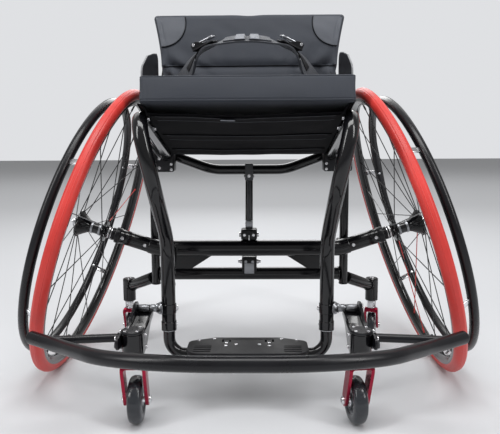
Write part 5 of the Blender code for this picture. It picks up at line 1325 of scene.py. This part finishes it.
# quick-release axle parts, along each wheel's own axis
axleParts = {
    "pinHead": [(0.0046, 0.0500), (0.0046, 0.0573), (0.0086, 0.0573), (0.0095, 0.0564),
                (0.0095, 0.0512), (0.0086, 0.0503), (0.0062, 0.0503), (0.0062, 0.0440)],
    "pinShank": [(0.0060, -0.0150), (0.0060, -0.0380), (0.0046, -0.0395), (0.0005, -0.0395)],
    "pinRing": [(0.0095, 0.0527), (0.0099, 0.0531), (0.0099, 0.0545), (0.0095, 0.0549)],
    "button": [(0.0001, 0.0618), (0.0030, 0.0617), (0.0039, 0.0611), (0.0042, 0.0602), (0.0042, 0.0545),
        (0.0001, 0.0545)],
    "receiver": [(0.0066, -0.0238), (0.0124, -0.0238), (0.0135, -0.0244), (0.0135, -0.0330),
                 (0.0128, -0.0335), (0.0128, -0.0363), (0.0066, -0.0363)],
    "ring": [(0.0134, -0.0270), (0.0138, -0.0272), (0.0138, -0.0286), (0.0134, -0.0288)],
    "nut": [(0.0066, -0.0203), (0.0118, -0.0203), (0.0126, -0.0209), (0.0126, -0.0238), (0.0066, -0.0238)],
    "flatPlace": (0.0160, 0, -0.0221), "flatSize": (0.0100, 0.0300, 0.0050),
}


def makeAxles():
    def turned(name, steps, closed, finishName, angle=30):
        return painted(spun(name, axleParts[name], steps, matrix, closed, angle), finishName)

    for tag, side in sides:
        matrix = wheelMatrix(side)
        pin = [
            turned("pinHead", 48, False, "brightSteel"), turned("pinShank", 32, False, "brightSteel"),
            turned("pinRing", 48, True, "greyAlloy"),
        ]
        finished("axlePin", pin, "brightSteel", "axle_pin", tag)
        press = turned("button", 40, False, "brightSteel", 40)
        finished("axleButton", [press], "brightSteel", "axle_button", tag, "release_button")
        sleeve, ring = turned("receiver", 48, True, "satinBlack"), turned("ring", 48, True, "brightSteel")
        nut = spun("nut", axleParts["nut"], 48, matrix, True, 30)
        flats = []
        for step in range(6):
            turn = Matrix.Rotation(math.tau * step / 6, 4, "Z") @ Matrix.Translation(axleParts["flatPlace"])
            flats.append(box("flat", axleParts["flatSize"], (0, 0, 0), 0, matrix @ turn))
        cut(nut, *flats)
        parts = [sleeve, ring, painted(cleaned(nut, 30), "brightSteel")]
        finished("axleReceiver", parts, "brightSteel", "axle_receiver", tag)


# bolts that hold the sling to the seat rails' inner sides, with each one's place and radius
railBolts = ((0.1594, -0.2600, 0.5110, 0.0046), (0.1588, -0.2830, 0.5000, 0.0042),
    (0.1598, -0.2000, 0.4966, 0.0038))


def makeRailBolts():
    for tag, side in sides:
        parts = []
        for x, y, z, radius in railBolts:
            washerEnds = [at(side, x + reach, y, z) for reach in (0.0012, -0.0004)]
            add(parts, rod("washer", *washerEnds, radius + 0.0020, 28, 0.0003), "greyAlloy")
            addBolt(parts, at(side, x - 0.0002, y, z), (-side, 0, 0), radius, 0.0030)
        finished("railBolts", parts, "brightSteel", None, tag)


makeCasters()
makeMounts()
makeCrossClamps()
makeAntiTipArms()
makeBumper()
makeFootrest()
makeFootplate()
makeAxles()
makeRailBolts()
print("casters, bumper, footrest and axles")


# soft goods: cushion, sling, back, lap strap, and what is fixed to them
railBack, railFront = Vector(tubes["railBack"]), Vector(tubes["railFront"])
seat = {
    "slope": math.atan2(railFront.z - railBack.z, railBack.y - railFront.y), "cushionHalf": 0.1700,
    "cushionFront": -0.3000, "cushionLength": 0.3560,
    "cushionThick": 0.0410, "cushionShift": 0.0035, "slingFront": -0.2860, "slingBack": 0.0080,
    "slingThick": 0.0024, "guardX": 0.1892,
}
back = {
    "halfTop": 0.2055, "halfLow": 0.1860, "shift": 0.0015, "top": 0.7440, "low": 0.6340, "skirt": 0.5800,
    "thick": 0.0220, "skirtThick": 0.0080,
    "patch": 0.0680,
}
strap = {"width": 0.0380, "thick": 0.0034, "half": 0.1310, "foot": 0.6120, "rise": 0.0550, "archY": 0.0400,
    "buckleX": 0.0800}


def railZ(y):
    return railBack.z + (railBack.y - y) * math.tan(seat["slope"])


def railX(y):
    share = (railBack.y - y) / (railBack.y - railFront.y)
    return railBack.x + (railFront.x - railBack.x) * share


railTop = tubes["frameRadius"] / math.cos(seat["slope"]) + 0.0003


# a box with rounded edges whose points go where the given shape puts them
def softBox(name, half, edge, cuts, shape):
    pickNone()
    bpy.ops.mesh.primitive_cube_add(size=2)
    piece = named(name)
    bpy.ops.object.mode_set(mode="EDIT")
    bpy.ops.mesh.select_all(action="SELECT")
    bpy.ops.mesh.subdivide(number_cuts=cuts)
    body = bmesh.from_edit_mesh(piece.data)
    for corner in body.verts:
        point = Vector([math.sin(math.pi / 2 * share) * reach for share, reach in zip(corner.co, half)])
        core = Vector([max(-reach + edge, min(reach - edge, value)) for value, reach in zip(point, half)])
        out = point - core
        corner.co = shape(core + out.normalized() * edge if out.length > 0 else point)
    bmesh.update_edit_mesh(piece.data)
    bpy.ops.object.mode_set(mode="OBJECT")
    return cleaned(piece, 60)


# a grid of points, each from -1 to 1, put where the given shape says and given a thickness
def softSheet(name, columns, rows, shape, thick, offset=0.0, rim=0.0):
    pickNone()
    bpy.ops.mesh.primitive_grid_add(x_subdivisions=columns, y_subdivisions=rows, size=2)
    piece = named(name)
    for corner in piece.data.vertices:
        corner.co = shape(corner.co.x, corner.co.y)
    applied(piece, "SOLIDIFY", thickness=thick, offset=offset, use_even_offset=True)
    cleaned(piece, 50)
    if rim:
        applied(piece, "BEVEL", width=rim, segments=2, limit_method="ANGLE", angle_limit=math.radians(60))
        cleaned(piece, 50)
    return piece


def ripple(point, scale, depth):
    return noise.noise(point * scale) * depth


def cushionPlace(point):
    rest = railZ(seat["cushionFront"]) + railTop + 0.0019
    along = Vector((0, math.cos(seat["slope"]), -math.sin(seat["slope"])))
    up = Vector((0, math.sin(seat["slope"]), math.cos(seat["slope"])))
    x, y, z = point
    return fromAxle(0, seat["cushionFront"],
        rest) + Vector((x + seat["cushionShift"], 0,
            0)) + along * (y + seat["cushionLength"] / 2) + up * (z + seat["cushionThick"] / 2)


def makeCushion():
    half = Vector((seat["cushionHalf"], seat["cushionLength"] / 2, seat["cushionThick"] / 2))

    def shape(point):
        u, v, w = point.x / half.x, point.y / half.y, point.z / half.z
        top = max(0.0, w) * 0.0040 * (1 - u * u) * (1 - v * v)
        bulge = 0.0016 * (1 - w * w) * (1 - abs(u) ** 6) if v < -0.95 else 0
        crease = 0.0
        if v < -0.8 and abs(u) > 0.86:  # small creases by the front corners
            share = (abs(u) - 0.86) / 0.14
            crease = 0.0009 * share * math.sin(u * 190 + w * 1.5) * (1 - w * w * 0.5)
        sag = ripple(point, 16, 0.0016) * (1 - abs(w) * 0.3)
        moved = Vector((point.x * (1 - 0.006 * (1 - w * w)),
            point.y - bulge + crease + (sag if v < -0.9 else 0),
            point.z + top + (sag * 0.6 if w > 0.9 else 0)))
        return cushionPlace(moved)

    parts = [painted(softBox("cushion", half, 0.0050, 56, shape), "greyFabric")]
    # piping round the top and the bottom edge
    sink = 0.0012
    for height in (half.z, -half.z):
        corners = [(-half.x, -half.y), (half.x, -half.y), (half.x, half.y), (-half.x, half.y)]
        outline = roundedOutline(corners, (0.006,) * 4, 6)
        loop = []
        for here, there in zip(outline, outline[1:] + outline[:1]):
            steps = max(1, int((Vector(there) - Vector(here)).length / 0.012))
            loop += [Vector(here).lerp(Vector(there), step / steps) for step in range(steps)]
        loop.append(loop[0])
        route = []
        for x, y in loop:
            v, inward = y / half.y, 1 - sink / half.x
            z = math.copysign(half.z - sink, height)
            sag = ripple(Vector((x, y, z)), 16, 0.0016)
            route.append(cushionPlace(Vector((x * inward,
                y * (1 - sink / half.y) + (sag * 0.7 if v < -0.9 else 0), z))))
        add(parts, bentTube("piping", route, 0.0013, 3, 0), "greyFabric")
    piece = finished("cushionPad", parts, "greyFabric", "cushion")


# sling between the rails, its edges wrapped round them, with a front hem, straps and stitching
def slingPoint(u, v, drop=0.0):
    y = seat["slingFront"] + (seat["slingBack"] - seat["slingFront"]) * (v + 1) / 2
    hem, radius = 0.6, tubes["frameRadius"] + 0.0006 + seat["slingThick"] / 2 + drop
    near = max(0.0, min(1.0, (0.5 - v) / 1.5))
    sag = 0.0015 + 0.0035 * near**1.4
    if abs(u) <= hem:
        share = abs(u) / hem
        droop = 1 - share ** (2 - 0.9 * near)
        x = share * (railX(y) - radius)
        z = railZ(y) - sag * droop - drop
    else:
        turn = math.pi - math.radians(88) * (abs(u) - hem) / (1 - hem)
        x = railX(y) + radius * math.cos(turn)
        z = railZ(y) + radius * math.sin(turn) / math.cos(seat["slope"])
    return fromAxle(math.copysign(x, u), y,
        z + ripple(Vector((u * 3, y * 20, 1)), 1.6, 0.0010) * (1 if abs(u) < hem * 0.9 else 0))


def makeSling():
    # the sling's near-black is its own black plus painted shade under the seat
    piece = painted(softSheet("sling", 90, 40, slingPoint, seat["slingThick"], 0, 0), "blackWeb")
    width = 2 * sum((slingPoint(i / 100, 0.5) - slingPoint((i + 1) / 100, 0.5)).length for i in range(100))
    extras = []
    # tension straps under the sling, and a rolled front hem
    for low, high in ((-0.985, -0.80), (-0.16, 0.08), (0.62, 0.86)):
        def bandPoint(u, v, low=low, high=high):
            return slingPoint(u * 0.585, low + (high - low) * (v + 1) / 2, 0.0022)
        extras.append(painted(softSheet("band", 60, 4, bandPoint, 0.0016, 0, 0.0004), "blackWeb"))
        for v in (low + 0.015, high - 0.015):
            route = [slingPoint(0.56 * i / 40, v, 0.0031) for i in range(-40, 41)]
            extras.append(painted(bentTube("stitch", route, 0.00045, 1, 0), "stitching"))
    def tailPoint(u, v):
        spot = slingPoint(-0.11 + 0.045 * u, -0.97, 0.0045)
        return spot + Vector((0, 0.008 * v - 0.002, -0.0010 * (1 - v)))
    extras.append(painted(softSheet("tail", 8, 4, tailPoint, 0.0012, 0, 0.0003), "greyTab"))
    straps = finished("slingStraps", extras, "blackWeb")
    finished("seatSling", [piece], "blackWeb", "seat_sling")


# back: a padded panel, narrower towards its foot, over a gathered skirt
def backHalf(z):
    if z >= back["low"]:
        return back["halfLow"] + (back["halfTop"] - back["halfLow"]) * min(1.15,
            (z - back["low"]) / 0.110) ** 1.4
    return back["halfLow"] - 0.012 * (back["low"] - z) / (back["low"] - back["skirt"])


def backThick(z):
    if z < back["low"] - 0.004:
        return back["skirtThick"]
    rise = (z - back["low"]) / 0.110
    full = back["thick"] * (0.55 + 0.45 * math.sin(math.pi * max(0.0, min(1.0, 0.12 + rise * 0.8))))
    blend = min(1.0, (z - back["low"] + 0.004) / 0.010)
    return back["skirtThick"] + (full - back["skirtThick"]) * math.sin(math.pi / 2 * blend)


def backFront(x, z):
    u = x / backHalf(z)
    gather = math.exp(-((z - back["low"]) / 0.0090) ** 2)
    folds = 0.0
    if z < back["low"]:
        share = min(1.0, (back["low"] - z) / 0.016)
        folds = 0.0075 * share * math.cos(u * math.pi * 11 + 3 * math.sin(u * 5) + (z - back["low"])
            * 40) * min(1.0, max(0.0, abs(u) - 0.30) * 2.4) ** 1.3
    elif z < back["low"] + 0.060:
        share = math.exp(-(z - back["low"]) / 0.018)
        folds = 0.0052 * share * math.cos(u * math.pi * 12 + 4 * math.sin(u * 4) - (z - back["low"])
            * math.copysign(90, u)) * min(1.0, 0.15 + abs(u) ** 3 * 1.4)
    wave = ripple(Vector((x * 9, 0, z * 14)), 1.0, 0.0030) + ripple(Vector((x * 30 + z * 22, 3, z * 40)), 1.0,
        0.0010)
    crown = 0.004 * (1 - u * u)
    hem = 0.0013 * math.exp(-((abs(x) - backHalf(z) + 0.0135) / 0.0013) ** 2)
    return backY(z) + (back["thick"] - backThick(z)) * 0.4 - crown + folds + wave + 0.0032 * gather + hem


def makeBack():
    half = Vector((back["halfTop"], back["thick"] / 2, (back["top"] - back["skirt"]) / 2))

    def shape(point):
        z = back["skirt"] + half.z + point.z
        # a small dip at the middle of the top
        z -= 0.0022 * math.exp(-(point.x / 0.020) ** 2) * max(0.0, (z - 0.70) / 0.044)
        x = point.x * backHalf(z) / back["halfTop"]
        thick = backThick(z)
        share = (point.y / half.y + 1) / 2
        front = backFront(x, z)
        rear = backY(z) + (back["thick"] - thick) * 0.4 + thick + ripple(Vector((x * 8, 5, z * 12)), 1.0,
            0.0018)
        return fromAxle(x + back["shift"], front + (rear - front) * share, z)

    parts = [painted(softBox("panel", half, 0.0095, 72, shape), "greyFabric")]
    # corner patches of a lighter cloth, each edge turned under and stitched
    for side in (1, -1):
        def patchPoint(u, v, side=side, lift=0.0008):
            reach, turn = ((u + 1) / 2) ** 0.8, math.pi / 2 * (v + 1) / 2
            z = back["top"] - 0.0052 - back["patch"] * 0.95 * reach * math.sin(turn)
            x = backHalf(z) - 0.0052 - (back["patch"] - 0.005) * reach * math.cos(turn)
            return fromAxle(side * x + back["shift"], backFront(side * x, z) - lift, z)
        add(parts, softSheet("patch", 20, 26, patchPoint, 0.0010, 0, 0), "greyPatch")
        route = [patchPoint(1.0, -1 + i / 18, side, 0.0013) for i in range(37)]
        add(parts, bentTube("seam", route, 0.0008, 2, 0), "blackWeb")
        route = [patchPoint(0.93, -1 + i / 18, side, 0.0016) for i in range(37)]
        add(parts, bentTube("stitch", route, 0.0004, 1, 0), "stitching")
    # a dark line of painted shade in the crease between panel and skirt, under the panel's rolled foot
    route = [fromAxle(x + back["shift"], backFront(x, back["low"] - 0.001) - 0.0002,
        back["low"] - 0.001) for x in [back["halfLow"] * 0.97 * i / 60 for i in range(-60, 61)]]
    add(parts, bentTube("creaseShade", route, 0.0011, 2, 0), "blackWeb")
    piece = finished("backUpholstery", parts, "greyFabric", "back_upholstery")


# lap strap over the lap, with the buckles on it
def strapArch(x):
    share = min(1.0, abs(x) / strap["half"])
    z = strap["foot"] + strap["rise"] * (1 - share**2.5) ** 0.85
    return Vector((x, -strap["archY"] * (2 - share**2), z))


def strapPoints(solid):
    x0 = 0.17835
    low = railZ(-strap["width"] / 2) + railTop + 0.0006
    half = [Vector((x0, 0, low)), Vector((x0, -0.0060, low + 0.0550)),
        Vector((0.1560, -0.0240, 0.5770) if solid else (0.1450, -0.0260, 0.5740))]
    if solid:
        half += [strapArch(strap["half"] * share) for share in (0.97, 0.80)]
    else:
        half += [Vector((0.1180, -0.0440, 0.6080)), Vector((0.0990, -0.0560, 0.6360))]
    half += [strapArch(strap["half"] * share) for share in (0.61, 0.40, 0.20)]
    return half + [strapArch(0)] + mirrored(half)[len(half):]


def strapFrame(route, index):
    along = (route[min(index + 1, len(route) - 1)] - route[max(index - 1, 0)]).normalized()
    across = Vector((0, 1, 0))
    across = (across - along * along.y).normalized()
    return along, across, across.cross(along)


def makeStrap():
    route = smoothRoute(strapPoints(False), 12)
    count = len(route)

    def lean(x):
        near = math.exp(-((abs(x) - strap["buckleX"]) / 0.026) ** 2)
        lower = min(1.0, max(0.0, (abs(x) - 0.060) / 0.050))
        return math.radians(24 + 22 * lower) * (1 - near) * min(1.0, max(0.0, (0.178 - abs(x)) / 0.02))

    def band(name, first, last, lift, width, thick, finishName, tilted=True):
        def point(u, v):
            place = first + (last - first) * (u + 1) / 2
            index = int(min(count - 2, max(0, math.floor(place))))
            share = place - index
            here = route[index].lerp(route[index + 1], share)
            a = strapFrame(route, index)
            b = strapFrame(route, index + 1)
            across, out = a[1].lerp(b[1], share).normalized(), a[2].lerp(b[2], share).normalized()
            if out.z < 0 or (abs(out.z) < 0.3 and out.x * here.x < 0):
                out = -out
            turn = lean(here.x) if tilted else 0
            side = across * math.cos(turn) + out * math.sin(turn)
            away = out * math.cos(turn) - across * math.sin(turn)
            return fromAxle(0, 0, 0) + here + side * (v * width / 2) + away * lift
        long = max(8, int(abs(last - first) * 2))
        return painted(softSheet(name, long, 6, point, thick, 0, 0.0005), finishName)

    middle = (count - 1) / 2
    # the strap cloth's lighter grey is partly a painted sheen
    # one strap from each side; they overlap in front, under a wider sleeve
    parts = [band("strapRight", 0, middle - 1, 0, strap["width"], strap["thick"], "strapClothSheen"),
             band("strapLeft", middle - 1, count - 1, 0, strap["width"], strap["thick"], "strapClothSheen")]
    for side in (1, -1):
        tip = middle + side * 1.5
        parts.append(band("overlay", tip, middle + side * 20, 0.0034, 0.030, 0.0022, "strapClothSheen"))
        parts.append(band("cuff", middle + side * 2.5, middle + side * 10, 0.0052, 0.036, 0.0018, "greyTab"))
        parts.append(band("pad", middle + side * 48, middle + side * 72, 0.0030, 0.044, 0.0030, "strapClothSheen"))
        parts.append(band("ladder", middle + side * 26, middle + side * 58, 0.0048, 0.016, 0.0024,
            "blackPlastic"))
    piece = finished("lapStrap", parts, "blackWeb", "pelvic_strap")


buckle = {
    "length": 0.0440, "width": 0.0340, "lift": 0.0029, "base": 0.0030, "hingeIn": 0.0070, "hingeUp": 0.0105,
    "cheek": 0.0026, "pin": 0.0020, "play": 0.0066, "arm": 0.0026, "armEnd": 0.0400,
    "ribs": (0.0300, 0.0335, 0.0370),
    "ribSize": (0.0012, 0.0014), "eyeInside": 0.00225, "eye": 0.0042,
}


def makeBuckles():
    route = smoothRoute(strapPoints(True), 2)
    width, end = buckle["width"], buckle["length"] / 2
    for tag, side in sides:
        index = min(range(len(route)), key=lambda i: abs(route[i].x - side * strap["buckleX"]))
        along, out = strapFrame(route, index)[::2]
        if out.z < 0:
            out = -out
        uphill = along if along.z > 0 else -along
        foot = axes(uphill, out, fromAxle(0, 0, 0) + route[index] + out * buckle["lift"])
        hinge = Vector((buckle["hingeIn"] - end, 0, buckle["hingeUp"]))
        upward, base = foot.to_3x3() @ Vector((0, 0, 1)), buckle["base"]
        parts = [painted(box("base", (2 * end, width, base), (0, 0, base / 2), 0.0010, foot), "blackPlastic")]
        outline = [(0.001 - end, 0.0006), (end - 0.012, 0.0006), (end - 0.020, 0.0085), (0.012 - end, 0.0150),
            (0.001 - end, 0.0130)]
        cheek = roundedOutline(outline, (0.001, 0.002, 0.004, 0.005, 0.004), 5)
        for way in (1, -1):
            place = foot @ axes((1, 0, 0), (0, -1, 0), (0, way * (width - 0.0030) / 2, 0))
            add(parts, plate("cheek", cheek, buckle["cheek"], place, 0.0005), "satinBlack")
            pinEnd = foot @ Vector((hinge.x, way * (width / 2 - 0.0002), hinge.z))
            addBolt(parts, pinEnd, foot.to_3x3() @ Vector((0, way, 0)), 0.0030, 0.0012)
        pinEnds = [foot @ Vector((hinge.x, y, hinge.z)) for y in (-width / 2, width / 2)]
        add(parts, rod("pin", *pinEnds, buckle["pin"], 20, 0), "brightSteel")
        for x, y in ((end - 0.006, 0.009), (end - 0.006, -0.009), (0.020 - end, 0.0)):
            addBolt(parts, foot @ Vector((x, y, base - 0.0002)), upward, 0.0030, 0.0011)
        finished("buckleBase", parts, "blackPlastic", "buckle", tag)

        # lever: an eye on the pin and a flat arm with a window and three ratchet teeth
        lever = foot @ Matrix.Translation(hinge)
        wide = width - buckle["play"]
        edge, armEnd = wide / 2, buckle["armEnd"]
        outline = [(0.0015, 0.0004 - edge), (0.012, 0.002 - edge), (0.030, 0.003 - edge),
            (armEnd, 0.006 - edge)]
        outline += [(x, -y) for x, y in reversed(outline)]
        bends = (0.001, 0.004, 0.006, 0.005, 0.005, 0.006, 0.004, 0.001)
        arm = plate("arm", roundedOutline(outline, bends, 4), buckle["arm"], None, 0.0006)
        window = roundedOutline([(0.012, -0.005), (0.026, -0.004), (0.026, 0.004), (0.012, 0.005)],
            (0.002,) * 4, 4)
        cut(arm, plate("window", window, 0.02, None, 0))
        parts = [painted(settled(cleaned(arm), lever), "leverAlloy")]
        ribLong, ribHigh = buckle["ribSize"]
        for x in buckle["ribs"]:
            add(parts, box("rib", (ribLong, wide - 0.014, ribHigh), (x, 0, 0.0016), 0.0004, lever, 2),
                "leverAlloy")
        inside, radius = buckle["eyeInside"], buckle["eye"]
        eye = [(inside, -edge), (radius - 0.0004, -edge), (radius, 0.0004 - edge)]
        eye += [(reach, -y) for reach, y in reversed(eye)]
        sideways = lever @ axes((1, 0, 0), (0, 1, 0), (0, 0, 0))
        add(parts, spun("eye", eye, 28, sideways, True, 30), "leverAlloy")
        finished("buckleLever", parts, "brightSteel", "buckle_lever", tag, "lever")


# side guards: thin boards with a rolled edge painted lighter as a highlight, screwed to the rails
guard = {
    "back": 0.0200, "front": -0.1530, "sink": 0.0060, "thick": 0.0030, "edge": 0.0017,
    "bolts": (-0.115, -0.070, -0.030), "boltSize": (0.0040, 0.0018),
}


def makeGuards():
    x, back, front, sink = seat["guardX"], guard["back"], guard["front"], guard["sink"]
    corners = [(back, railZ(back) - sink), (front + 0.001, railZ(front + 0.003) - sink), (front, 0.6060),
               (-0.0950, 0.6350), (-0.0400, 0.6470), (back, 0.6560)]
    outline = roundedOutline(corners, (0.0120, 0.0200, 0.0200, 0.0500, 0.0500, 0.0160), 9)
    for tag, side in sides:
        board = plate("guard", outline, guard["thick"], acrossX(side * x, axleY), 0.0006)
        route = [fromAxle(side * x, y, z) for y, z in outline + outline[:1]]
        # the rim tube takes the lighter grey of a painted highlight
        parts = [painted(board, "guardPlastic"),
            painted(bentTube("rim", route, guard["edge"], 3, 0), "guardRimHighlight")]
        for y in guard["bolts"]:
            addBolt(parts, fromAxle(side * (x + 0.0014), y, railZ(y) + 0.001), (side, 0, 0),
                *guard["boltSize"])
        finished("sideGuard", parts, "blackPlastic", "side_guard", tag)


makeCushion()
makeSling()
makeBack()
makeStrap()
makeBuckles()
makeGuards()
print("seat, back and straps")

removed(boltModel)
